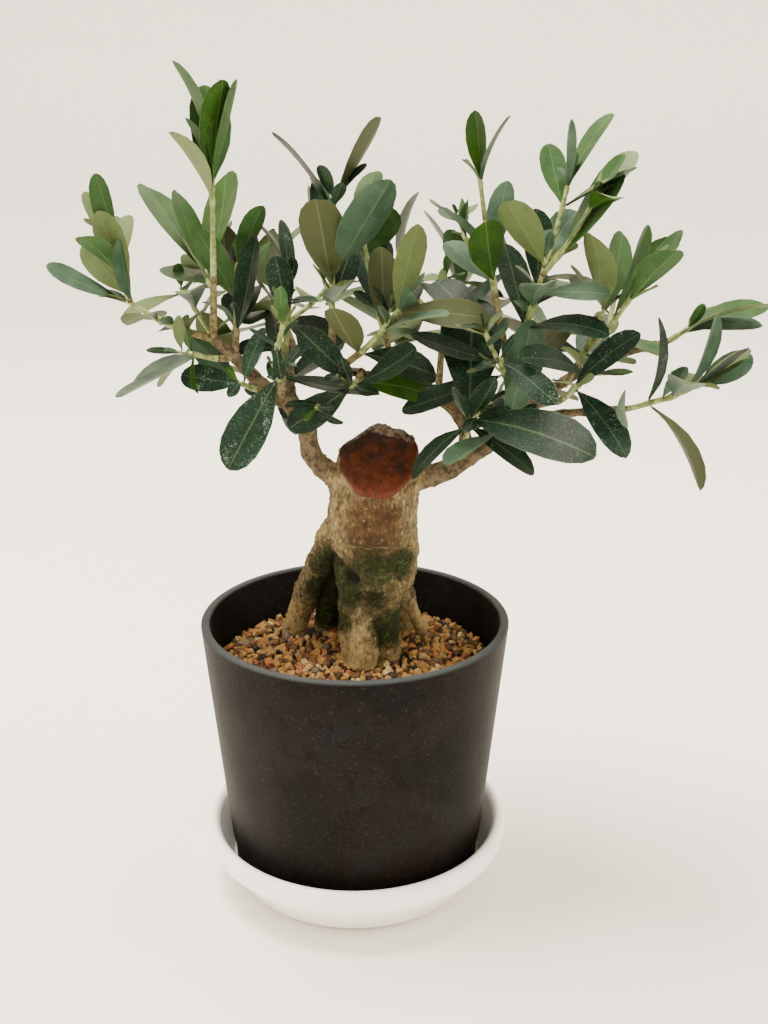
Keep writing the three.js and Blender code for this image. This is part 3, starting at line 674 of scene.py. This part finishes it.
# The granules' colours, and how many of each hundred have them
STONE_COLOURS = {
    "tan_clay_granule": ("#a57b43", 27),
    "golden_clay_granule": ("#ad8040", 17),
    "brown_clay_granule": ("#694728", 22),
    "cream_pumice": ("#c4a570", 12),
    "pink_clay_granule": ("#a3633c", 6),
    "dark_grit": ("#261a11", 12),
    "grey_pumice": ("#6e5f4a", 4),
}


def stone_shapes(draw):
    """A few angular granules, each the hull of points scattered about a flattened ball."""
    shapes = []
    for _ in range(GRAVEL["shapes"]):
        stone = bmesh.new()
        stretch = draw.uniform(*GRAVEL["flatness"], 3)
        for _ in range(GRAVEL["corners"]):
            way = draw.normal(size=3)
            stone.verts.new(way / np.linalg.norm(way) * stretch)
        made = bmesh.ops.convex_hull(stone, input=stone.verts)
        inside = [g for g in made["geom_interior"] if isinstance(g, bmesh.types.BMVert)]
        bmesh.ops.delete(stone, geom=inside, context="VERTS")
        bmesh.ops.recalc_face_normals(stone, faces=stone.faces)
        bmesh.ops.triangulate(stone, faces=stone.faces)
        stone.verts.index_update()
        shapes.append((
            np.array([v.co[:] for v in stone.verts]),
            np.array([[v.index for v in f.verts] for f in stone.faces]),
        ))
        stone.free()
    return shapes


def make_stones():
    """A layer of granules strewn over the mound, no two in the same place."""
    g = GRAVEL
    draw = np.random.RandomState(g["seed"])
    shapes = stone_shapes(draw)
    shares = np.array([share for _, share in STONE_COLOURS.values()]) / 100
    verts, faces, slots = [], [], []
    placed = np.empty((0, 4))
    count = 0
    for _ in range(g["tries"]):
        size = draw.uniform(*g["size"])
        radius = (g["strewn_radius"] - size * 0.5) * math.sqrt(draw.uniform())
        angle = draw.uniform(0, math.tau)
        place = np.array((radius * math.cos(angle), radius * math.sin(angle),
                          mound_height(radius) - g["sunk"] + draw.uniform(*g["uneven"])))
        apart = np.linalg.norm(placed[:, :3] - place, axis=1)
        if (apart < g["gap"] * (placed[:, 3] + size)).any():
            continue
        placed = np.vstack([placed, (*place, size)])
        points, tris = shapes[draw.randint(len(shapes))]
        turn = np.array(Matrix.Rotation(draw.uniform(0, math.tau), 3, "Z")
                        @ Matrix.Rotation(draw.uniform(*g["tilt"]), 3, "X"))
        verts.append((points @ turn.T * size + place) * MM)
        faces.append(tris + count)
        slots += [draw.choice(len(shares), p=shares)] * len(tris)
        count += len(points)
    mesh = bpy.data.meshes.new("potting_gravel")
    mesh.from_pydata(np.concatenate(verts).tolist(), [], np.concatenate(faces).tolist())
    mesh.polygons.foreach_set("material_index", slots)
    mesh.update()
    return as_object("potting_gravel", mesh,
                     [stone_finish(name, colour) for name, (colour, _) in STONE_COLOURS.items()])


def hump(degrees, half):
    """1 on its middle, 0 at its half width in degrees and past it."""
    away = abs((degrees + 180) % 360 - 180)
    return 0 if away >= half else 0.5 + 0.5 * math.cos(math.pi * away / half)


def bell(value, middle, spread):
    """1 at the middle, fading to either side."""
    return math.exp(-(((value - middle) / spread) ** 2))


def lerp(pair, share):
    """The value that far from the first of a pair to the second."""
    return pair[0] + share * (pair[1] - pair[0])


def clamp(value):
    """The value, kept between 0 and 1."""
    return min(1, max(0, value))


def ring_of(vert, rings):
    """The ring of a ball of radius 1 that a corner is on, counted from its top."""
    return round(math.acos(max(-1, min(1, vert.co.z))) / math.pi * rings)


def unit(vector):
    """The same direction at a length of 1."""
    return vector / np.linalg.norm(vector)


def stump_radius(angle, z):
    """The stump's radius at a height, in the direction of an angle in degrees."""
    girth = TRUNK["girth"]
    place = (z - TRUNK["ground"]) / (TRUNK["top"] - TRUNK["ground"]) * (len(girth) - 1)
    k = min(max(int(place), 0), len(girth) - 2)
    radius = girth[k] + max(place - k, 0) * (girth[k + 1] - girth[k])
    for way, height, swell, half, spread in SWELLINGS:
        radius += swell * hump(angle - way, half) * bell(z, height, spread)
    return radius


def stump_centre(z):
    """The stump leans: its middle at a height."""
    rise = TRUNK["neck_height"] - TRUNK["ground"]
    share = clamp((z - TRUNK["ground"]) / rise)
    return [lerp(pair, share) for pair in zip(TRUNK["foot"], TRUNK["neck"])]


def cut_planes():
    """Each cut's point in millimetres, the way it faces and its slot."""
    for point, forward, right, slot in CUTS:
        turn = Matrix.Rotation(math.radians(right), 3, "Y") @ Matrix.Rotation(
            math.radians(forward), 3, "X")
        yield Vector(point), turn @ Vector((0, 0, 1)), slot


def add_stump(shape):
    """The bare stump: a cylinder's rings drawn to its girth, then sawn by its planes."""
    rings, columns = 40, 56
    bottom, top = TRUNK["ground"] - TRUNK["buried"], TRUNK["top"]
    made = bmesh.ops.create_uvsphere(shape, u_segments=columns, v_segments=rings, radius=1)
    for vert in made["verts"]:
        row = ring_of(vert, rings)
        z = lerp((top, bottom), clamp((row - 1) / (rings - 2)))
        angle = math.atan2(vert.co.y, vert.co.x)
        cx, cy = stump_centre(z)
        radius = 0 if row in (0, rings) else stump_radius(math.degrees(angle), z)
        vert.co = Vector((cx + radius * math.cos(angle), cy + radius * math.sin(angle), z)) * MM
    for point, normal, _ in cut_planes():
        bmesh.ops.bisect_plane(shape, geom=shape.verts[:] + shape.edges[:] + shape.faces[:],
                               plane_co=point * MM, plane_no=normal, clear_outer=True)
        rim = [edge for edge in shape.edges if edge.is_boundary]
        bmesh.ops.holes_fill(shape, edges=rim)


def curve(route):
    """A centripetal Catmull-Rom curve: its place and heading at a share of its length."""
    knots = [np.array(p, float) for p in route]
    padded = [2 * knots[0] - knots[1], *knots, 2 * knots[-1] - knots[-2]]
    stretches = len(knots) - 1
    steps = 200

    def point(t):
        stretch = min(int(t * stretches), stretches - 1)
        w = t * stretches - stretch
        before, start, end, after = padded[stretch:stretch + 4]
        a, b, c = (np.linalg.norm(q - p) ** 0.5
                   for p, q in ((before, start), (start, end), (end, after)))
        leave = b * ((start - before) / a - (end - before) / (a + b) + (end - start) / b)
        reach = b * ((end - start) / b - (after - start) / (b + c) + (after - end) / c)
        return (start + leave * w + (3 * (end - start) - 2 * leave - reach) * w ** 2
                + (2 * (start - end) + leave + reach) * w ** 3)

    points = np.array([point(k / steps) for k in range(steps + 1)])
    lengths = np.concatenate([[0], np.cumsum(np.linalg.norm(np.diff(points, axis=0), axis=1))])

    def place(share):
        return point(np.interp(share * lengths[-1], lengths, np.linspace(0, 1, steps + 1)))

    def heading(share):
        delta = 1e-4
        return unit(place(min(1, share + delta)) - place(max(0, share - delta)))

    return place, heading, lengths[-1]


def grow(shape, line, radius_at, columns, rows, slot_at=None):
    """A round limb along a line: a sphere's rows become its rings, its poles its ends."""
    place, heading, _ = line
    shares = [clamp((row - 1) / (rows - 2)) for row in range(rows + 1)]
    rings = []
    across = np.array((0.95, 0.31, 0.07))  # a start that no limb runs along
    for share in shares:
        way = heading(share)
        across = unit(across - way * (across @ way))
        rings.append((place(share), across, np.cross(way, across), way))
    made = bmesh.ops.create_uvsphere(shape, u_segments=columns, v_segments=rows, radius=1)["verts"]
    if slot_at:
        for face in {face for vert in made for face in vert.link_faces}:
            z = max(-1, min(1, face.calc_center_median().normalized().z))
            face.material_index = slot_at(math.acos(z) / math.pi)
    for vert in made:
        row = ring_of(vert, rows)
        middle, u, v, way = rings[row]
        angle = math.atan2(vert.co.y, vert.co.x)
        radius = 0 if row in (0, rows) else radius_at(shares[row])
        if row == rows:
            middle = middle + way * radius_at(1) * 0.5
        vert.co = (middle + (u * math.cos(angle) + v * math.sin(angle)) * radius) * MM


# Where the bark is damp enough for moss, and where shade is painted as dark moss in the hollow, under the
# fold and by the pit: a place, how far it spreads and how thick it is
MOSS_AND_SHADE = (
    ((-8, -3, 103), 7, 1),
    ((-10, 0, 94), 7, 1),
    ((-7, 9, 94), 11, 1),
    ((-8, 12, 83), 8, 1),
    ((-2.5, -10, 100), 8, 1),
    ((-4.5, -9, 89), 5, 0.9),
    ((6, -12, 106), 9, 0.7),
    ((4, -12, 101), 13, 0.5),
    ((13, -9, 107), 6, 0.9),
    ((0, -11, 101), 4, 1),
    ((6, -14, 97.5), 5, 0.85),
    ((11, -9, 88), 8, 1),
    ((8, 15, 95), 9, 0.7),
    ((2, 14, 84), 8, 0.8),
    ((18, 3, 98), 7, 0.7),
)


def bark_skin():
    """The stump, its legs and the boughs melted into one closed skin."""
    shape = bmesh.new()
    add_stump(shape)
    for route, radii in LEGS:
        grow(shape, curve(route), lambda share: lerp(radii, share), 16, 24)
    for number, (route, radii) in enumerate(LIMBS.values()):
        line = curve(route)

        def radius(share):
            """Tapered, with rings of old leaf scars that stand out at even distances."""
            turns = share * line[2] / SCAR["apart"] + number / 3
            return lerp(radii, share) + SCAR["rise"] * max(0, math.cos(math.tau * turns)) ** 8

        grow(shape, line, radius, 16, max(16, round(line[2] * 1.2)))
    block = bpy.data.objects.new("bark_block", mesh_of("bark_block", shape))
    bpy.context.scene.collection.objects.link(block)
    melt = block.modifiers.new("melt", "REMESH")
    melt.mode = "VOXEL"
    melt.voxel_size = TRUNK["voxel"] * MM
    ready = block.evaluated_get(bpy.context.evaluated_depsgraph_get())
    skin = bmesh.new()
    skin.from_mesh(ready.to_mesh())
    ready.to_mesh_clear()
    bpy.data.objects.remove(block)
    for _ in range(TRUNK["melts"]):
        bmesh.ops.smooth_vert(skin, verts=skin.verts, factor=0.5, use_axis_x=True,
                              use_axis_y=True, use_axis_z=True)
    return skin


def creases(points, normals, edges):
    """How far each point lies in a hollow, from where its surroundings would pull it."""
    even = points.copy()
    share = 1 / np.maximum(np.bincount(edges.ravel(), minlength=len(points)), 1)[:, None]
    for _ in range(24):
        near = np.stack([
            np.bincount(edges.ravel(), even[edges[:, ::-1].ravel(), axis], len(points))
            for axis in range(3)], axis=1)
        even = 0.5 * even + 0.5 * near * share
    return ((even - points) * normals).sum(axis=1)


def wart_at(at):
    """1 on the tip of one of the small warts that are strewn over old bark."""
    nearest = noise.voronoi(at / 2.6)[0][0]
    return max(0, 0.36 - nearest) / 0.36


def above_lip(at):
    """How far a point is above the old wound lip that runs round the front of the stump."""
    return at.z - LIP_HEIGHT - 1.2 * noise.noise(at / 7)


def in_fold(at, angle):
    """1 in the bottom of the fold that runs down to a pit on the front of the stump."""
    start, end = (Vector(place) for place in FOLD)
    along = end - start
    here = Vector((at.x, at.z)) - start
    share = clamp(here.dot(along) / along.length_squared)
    return bell((here - along * share).length, 0, 1 + 1.4 * share) * hump(angle - 250, 100)


def bark_relief(at, angle, young, cut):
    """How far the bark stands out at a point: plates, warts, wrinkles and an old lip."""
    r = RELIEF
    grain = noise.fractal(Vector((at.x, at.y, at.z * 0.5)) / 1.5, 0.8, 2.0, 3)
    if cut:
        split = r["split"] * grain if cut == WEATHERED else 0
        return r["sawn"] * noise.fractal(at / 3, 1.0, 2.0, 3) + split
    if young > 0.5:
        return r["young"] * noise.fractal(at / 2.5, 1.0, 2.0, 3) + r["young_grain"] * grain
    plates = r["plates"] * noise.fractal(at / 7, 1.0, 2.0, 4)
    folds = math.sin(math.tau * (at.z - 0.2 * at.x) / 2.3 + 3 * noise.noise(at / 4))
    wrinkles = r["wrinkles"] * folds * hump(angle - 292, 60) * bell(at.z, 99.5, 4.5)
    above = above_lip(at)
    lip = clamp(above) * bell(above, 0, 3.5) * hump(angle - 270, 80)
    return (plates + r["grain"] * grain + r["warts"] * wart_at(at) + wrinkles
            + r["lip"] * lip - r["fold"] * in_fold(at, angle))


def make_bark():
    """The skin gets its relief, and shares for its colours: mossy patches, painted shade in its creases,
    hollows and fold, and age.
    """
    skin = bark_skin()
    skin.verts.index_update()
    points = np.array([v.co[:] for v in skin.verts]) / MM
    skin.normal_update()
    normals = np.array([v.normal[:] for v in skin.verts])
    edges = np.array([[v.index for v in e.verts] for e in skin.edges])
    hollow = np.clip(creases(points, normals, edges), 0, 1.5)
    layers = {name: skin.verts.layers.float.new(name) for name in BARK_SHARES}
    planes = list(cut_planes())
    for vert, place, deep in zip(skin.verts, points, hollow):
        at = Vector(place)
        cx, cy = stump_centre(at.z)
        angle = math.degrees(math.atan2(at.y - cy, at.x - cx))
        out = math.hypot(at.x - cx, at.y - cy)
        young = clamp((out - 13) / 4) * clamp((at.z - 121) / 3)
        ragged = 0.5 * noise.noise(at / 1.4)
        cut = 0
        for point, normal, slot in planes:
            if not young and (at - point).dot(normal) > -0.7 + ragged and (
                    vert.normal.dot(normal) > 0.6):
                cut = slot
        vert[layers["young"]] = young
        lip_line = bell(above_lip(at), 0.3, 0.45) * hump(angle - 270, 80)
        vert[layers["wart"]] = max(wart_at(at) * (1 - young), lip_line)
        # painted shade: the share is high in hollows and along the fold's bottom
        vert[layers["painted_crease_shade"]] = deep + 0.8 * in_fold(at, angle) ** 2
        # brown on the front of the neck: partly the bark's own colour, partly painted shade
        vert[layers["brown"]] = hump(angle - 270, 80) * bell(at.z, 119, 12)
        # moss and painted shade from the table, and more painted shade in the creases below the lip
        damp = max(thick * bell((at - Vector(middle)).length, 0, reach)
                   for middle, reach, thick in MOSS_AND_SHADE)
        vert[layers["moss_and_shade"]] = min(1, damp + 0.2 * deep * (at.z < 114))
        for face in vert.link_faces:
            face.material_index = max(face.material_index, cut)
        vert.co += vert.normal * bark_relief(at, angle, young, cut) * MM
    return as_object("olive_bark", mesh_of("olive_bark", skin),
                     [bark_finish(), cut_finish(), old_top_finish()])


def chance(seed):
    """Even draws between two values, the same for the same seed on every machine."""
    state = seed * 7919 + 17

    def draw(low, high):
        nonlocal state
        state = (state * 1664525 + 1013904223) % 4294967296
        return low + (high - low) * state / 4294967296

    return draw


def across_twig(direction):
    """The directions across a twig: u to the right where it can, and v away."""
    aim = np.array([1.0, 0, 0]) if abs(direction[0]) < 0.8 else UP
    u = unit(aim - direction * (aim @ direction))
    return u, np.cross(direction, u)


def leaf_at(root, direction, turn, lean, length, draw):
    """One leaf of a pair, from its twig's direction and its turn and lean in degrees."""
    u, v = across_twig(direction)
    around = math.radians(turn + draw(*CHANCE["round"]))
    out = math.radians(lean + draw(*CHANCE["lean"]))
    side = u * math.cos(around) + v * math.sin(around)
    way = direction * math.cos(out) + side * math.sin(out)
    full = length * draw(*CHANCE["length"])
    width = full * LEAF["slimness"] * draw(*CHANCE["width"])
    bow = math.radians(draw(*CHANCE["bow"]))
    roll = math.radians(draw(*CHANCE["roll"]))
    up = direction * 0.6 + UP * 0.5
    up = unit(up - way * (up @ way))
    across = np.cross(way, up)
    across = across * math.cos(roll) + up * math.sin(roll)
    return {
        "root": root, "way": way, "across": across, "top": np.cross(across, way),
        "length": full, "width": width, "bow": bow,
    }


def leaves_of(line, pairs, leaf, lean, turn, seed):
    """A shoot's leaves: its pairs, each a quarter turn on, and a small pair at the bud."""
    place, heading, _ = line
    draw = chance(seed)
    leaves = []
    for k in range(len(pairs) + 1):
        is_bud = k == len(pairs)
        share = 1 if is_bud else 0
        if 0 < k < len(pairs):
            share = (pairs[k] - pairs[0]) / (pairs[-1] - pairs[0])
        at = LEAF["bud_place"] if is_bud else pairs[k]
        pair_lean = lean[1] * LEAF["bud_lean"] if is_bud else lerp(lean, share)
        length = leaf[1] * LEAF["bud_size"] if is_bud else lerp(leaf, share)
        for half in (0, 180):
            leaves.append(leaf_at(place(at), heading(at), turn + 90 * k + half, pair_lean,
                                  length, draw))
    return leaves


def coloured(leaves, first, second, seed):
    """Deals a shoot's two tones to its leaves, and turns most upper sides to the light."""
    draw = chance(seed)
    for leaf in leaves:
        leaf["tone"] = second if draw(0, 1) >= 1 - SECOND_TONE else first
        is_lit = leaf["top"] @ np.array(LIGHT_SIDE) > 0
        leaf["over"] = is_lit == (draw(0, 1) < TURNED_OVER)
    return leaves


def shoot_route(start, end):
    """A shoot sags a little and turns up towards its tip."""
    start, end = np.array(start, float), np.array(end, float)
    middle = (start + end) / 2
    middle[2] -= TWIG["sag"] * np.linalg.norm(end - start)
    return start, middle, end


# A sprig in the corner of a leaf, with one pair and a bud. The old shoots have the most,
# and few grow out of reach of the crown's heart.
SPRIG = {
    "share": {"old": 0.5, "dusty": 0.45, "cool": 0.12, "grown": 0.1, "fresh": 0.05},
    "length": (3, 7),
    "leaf": (6, 13),
    "radii": (0.5, 0.3),
    "lean": (50, 20),
    "heart": (18, 0, 163),
    "reach": 46,
}


def sprigs_of(leaves, line, pairs, seed):
    """Finer twigs that the shoot's own leaves shelter, with their leaves."""
    draw = chance(seed + 101)
    _, heading, _ = line
    for k, pair in enumerate(pairs):
        for leaf in leaves[2 * k:2 * k + 2]:
            deep = np.linalg.norm(leaf["root"] - SPRIG["heart"]) < SPRIG["reach"]
            if draw(0, 1) > SPRIG["share"][leaf["tone"]] * (1 if deep else 0.25):
                continue
            way = unit(heading(pair) + 0.55 * leaf["way"] + 0.25 * UP)
            tip = leaf["root"] + way * draw(*SPRIG["length"])
            finer = curve(shoot_route(leaf["root"], tip))
            size = draw(*SPRIG["leaf"])
            small = leaves_of(finer, (0.7,), (size, size), SPRIG["lean"], draw(0, 360), seed + k)
            yield finer, coloured(small, leaf["tone"], "cool", seed + k)


def leaf_mesh(name, leaves):
    """Every leaf as a thin closed blade with a midrib, joined from arrays."""
    along = np.array([a for a, _ in OUTLINE])[None, :]
    widths = np.array([w for _, w in OUTLINE])[None, :]
    stack = {k: np.array([leaf[k] for leaf in leaves]) for k in leaves[0] if k != "tone"}
    count, rows, columns = len(leaves), len(OUTLINE), 4
    draw = np.random.RandomState(count)
    half = stack["width"][:, None] / 2 * widths * LEAF["visible_width"]
    rib = np.minimum(LEAF["vein"] * (1 - 0.75 * along), 0.42 * half)
    across = np.stack([-half, -rib, rib, half], axis=2)
    spread = np.abs(across) / half[..., None]
    # the halves rise from the midrib, and their margins are a little wavy
    wave = draw.uniform(*LEAF["wave"], (count, 1, 1)) * np.sin(
        along[..., None] * draw.uniform(*LEAF["waves"], (count, 1, 1))
        + np.sign(across) + draw.uniform(0, math.tau, (count, 1, 1)))
    lift = np.abs(across) * math.tan(math.radians(LEAF["fold"])) + wave * spread ** 2
    twist = draw.uniform(*LEAF["twist"], (count, 1)) * along
    bend = stack["bow"][:, None]
    turn = bend * along
    way, top, side = (stack[k][:, None, :] for k in ("way", "top", "across"))
    arc = (stack["length"][:, None] / bend)[..., None]
    middle = (stack["root"][:, None, :] + way * np.sin(turn)[..., None] * arc
              + top * (1 - np.cos(turn))[..., None] * arc)
    normal = top * np.cos(turn)[..., None] - way * np.sin(turn)[..., None]
    out = side * np.cos(twist)[..., None] + normal * np.sin(twist)[..., None]
    above = normal * np.cos(twist)[..., None] - side * np.sin(twist)[..., None]
    sheet = (middle[:, :, None] + out[:, :, None] * across[..., None]
             + above[:, :, None] * lift[..., None])
    thick = LEAF["thick"] / 2 * above[:, 1:-1, None]
    upper = sheet.copy()
    upper[:, 1:-1, 1:-1] += thick
    rise = LEAF["vein_rise"] * (1 - 0.7 * along[:, 1:-1, None, None])
    lower = sheet[:, 1:-1, 1:-1] - thick - above[:, 1:-1, None] * rise
    verts = np.concatenate([upper.reshape(count, -1, 3), lower.reshape(count, -1, 3)], axis=1)

    top_index = np.arange(rows * columns).reshape(rows, columns)
    low_index = top_index.copy()
    low_index[1:-1, 1:-1] = rows * columns + np.arange((rows - 2) * (columns - 2)).reshape(
        rows - 2, columns - 2)
    quads, sides = [], []
    for r in range(rows - 1):
        for c in range(columns - 1):
            corners = ((r, c), (r, c + 1), (r + 1, c + 1), (r + 1, c))
            is_stalk = r == 0
            quads += [[top_index[k] for k in corners], [low_index[k] for k in corners[::-1]]]
            sides += [-1, -1] if is_stalk else [0, 1]
    quads, sides = np.array(quads), np.array(sides)
    faces = (quads[None] + (np.arange(count) * verts.shape[1])[:, None, None]).reshape(-1, 4)
    tones = list(BLADE_TONES)
    dealt = np.array([tones.index(leaf["tone"]) for leaf in leaves])[:, None]
    shown = np.where(stack["over"][:, None], 1 - sides, sides)
    slots = np.where(sides < 0, 2 * len(tones), dealt + shown * len(tones)).reshape(-1)
    mesh = bpy.data.meshes.new(name)
    mesh.from_pydata((verts.reshape(-1, 3) * MM).tolist(), [], faces.tolist())
    mesh.polygons.foreach_set("material_index", slots.astype(np.int32))
    # 1 on the midrib and -1 on the margin: both are paler than the blade
    shares = np.tile([-1, 1, 1, -1] * rows + [1, 1] * (rows - 2), count)
    mesh.attributes.new("vein", "FLOAT", "POINT").data.foreach_set(
        "value", shares.astype(np.float32))
    mesh.update()
    mesh.shade_smooth()
    mesh.set_sharp_from_angle(angle=math.radians(55))
    return as_object(name, mesh, [
        *[blade_finish(tone) for tone in tones], *[underside_finish(tone) for tone in tones],
        stalk_finish()])


def make_foliage(group, masses):
    """One part of the crown: its twigs and its leaves, grown by the rule, joined by kind."""
    twigs = bmesh.new()
    leaves = []
    for shoots in masses.values():
        stem = None
        for start, end, pairs, leaf, lean, turn, seed, (first, second, deal) in shoots:
            is_stem = stem is None
            line = curve(shoot_route(start if is_stem else stem[0](start), end))
            stem = stem or line
            radii = (TWIG["stem"] if is_stem else TWIG["side"], TWIG["tip"])

            def radius(share):
                """Tapered, and thicker where its leaves join it."""
                joints = sum(bell((share - p) * line[2], 0, TWIG["joint_spread"])
                             for p in pairs)
                return lerp(radii, share) + TWIG["joint_rise"] * min(1, joints)

            def slot(share):
                """0 where it is woody, and 1 where it is still green."""
                return int(share >= TWIG["woody_stem" if is_stem else "woody_side"])

            grow(twigs, line, radius, 10, max(14, round(line[2] / 1.2)), slot)
            own = coloured(leaves_of(line, pairs, leaf, lean, turn, seed), first, second, deal)
            leaves += own
            for finer, small in sprigs_of(own, line, pairs, seed):
                grow(twigs, finer, lambda share: lerp(SPRIG["radii"], share), 6, 8,
                     lambda share: 1)
                leaves += small
    twig_piece = as_object("twigs_" + group, mesh_of("twigs_" + group, twigs),
                           [twig_finish(), stem_finish()])
    for piece in (twig_piece, leaf_mesh("leaves_" + group, leaves)):
        belongs(piece, "foliage", *masses)


belongs(turned("drip_saucer", saucer_finish()), "saucer_plastic", "saucer")
belongs(turned("round_pot", pot_finish()), "pot_plastic", "pot")
belongs(turned("potting_grit", soil_finish()), "gravel", "gravel")
belongs(make_stones(), "gravel", "gravel")
belongs(make_bark(), "bark", "trunk", *LIMBS)
BACK = {name: shoots for name, shoots in MASSES.items() if "back" in name}
FRONT = {name: shoots for name, shoots in MASSES.items() if "back" not in name}
make_foliage("back", BACK)
make_foliage("left", {k: s for k, s in FRONT.items() if s[0][1][0] < 10})
make_foliage("right", {k: s for k, s in FRONT.items() if s[0][1][0] >= 10})


def softbox(name, place, aim, width, height, watts):
    """A soft rectangular lamp that faces a point. Places are in metres."""
    lamp = bpy.data.lights.new(name, "AREA")
    lamp.color = linear("#fff5e6")[:3]
    lamp.shape = "RECTANGLE"
    lamp.size, lamp.size_y = width, height
    lamp.energy = watts
    piece = bpy.data.objects.new(name, lamp)
    piece.location = place
    piece.rotation_euler = (Vector(aim) - Vector(place)).to_track_quat("-Z", "Y").to_euler()
    bpy.context.scene.collection.objects.link(piece)


STUDIO = turned("studio_floor", finish("matt_pale_paint", "#f6f3ec", 0.9))
MIDDLE = (0, 0, 0.13)
# The lamps: the place, the point that they face, width, height and watts
LAMPS = {
    "top_light": ((-0.25, 0.1, 1.3), MIDDLE, 0.7, 0.7, 52),
    "left_light": ((-1.1, -0.35, 0.6), MIDDLE, 0.8, 0.8, 8),
    "right_light": ((1.1, -0.2, 0.6), MIDDLE, 0.8, 0.8, 10),
    "wall_light": ((0, 0.9, 2.0), (0, 1.9, 0.7), 1.4, 0.5, 22),
    "front_light": ((0.1, -1.3, 0.8), MIDDLE, 0.9, 0.9, 6),
}
for name, lamp in LAMPS.items():
    softbox(name, *lamp)
world = bpy.data.worlds.new("studio_air")
world.use_nodes = True
world.node_tree.nodes["Background"].inputs["Color"].default_value = linear("#fbf6ee")
world.node_tree.nodes["Background"].inputs["Strength"].default_value = 0.36
bpy.context.scene.world = world

# The camera stands where the photograph was taken from. Angles are in degrees.
CAMERA = {
    "place": (18.18, -341.73, 233.51),
    "pitch": 18.43,
    "yaw": -1.6,
    "roll": -0.106,
    "focal_pixels": 1225.16,
    "frame_pixels": 1024,
    "sensor": 36,
}


def make_camera():
    """The camera that the scene is seen by."""
    c = CAMERA
    pitch, yaw, roll = (math.radians(c[k]) for k in ("pitch", "yaw", "roll"))
    ahead = Vector((math.sin(yaw) * math.cos(pitch), math.cos(yaw) * math.cos(pitch),
                    -math.sin(pitch)))
    level = Vector((math.cos(yaw), -math.sin(yaw), 0))
    down = ahead.cross(level)
    right = level * math.cos(roll) + down * math.sin(roll)
    down = down * math.cos(roll) - level * math.sin(roll)
    lens = bpy.data.cameras.new("photo_camera")
    lens.sensor_fit = "VERTICAL"
    lens.sensor_height = c["sensor"]
    lens.lens = c["sensor"] * c["focal_pixels"] / c["frame_pixels"]
    lens.clip_start = 0.01
    camera = bpy.data.objects.new("photo_camera", lens)
    turn = Matrix((right, -down, -ahead)).transposed().to_4x4()
    camera.matrix_world = Matrix.Translation(Vector(c["place"]) * MM) @ turn
    bpy.context.scene.collection.objects.link(camera)
    bpy.context.scene.camera = camera


make_camera()
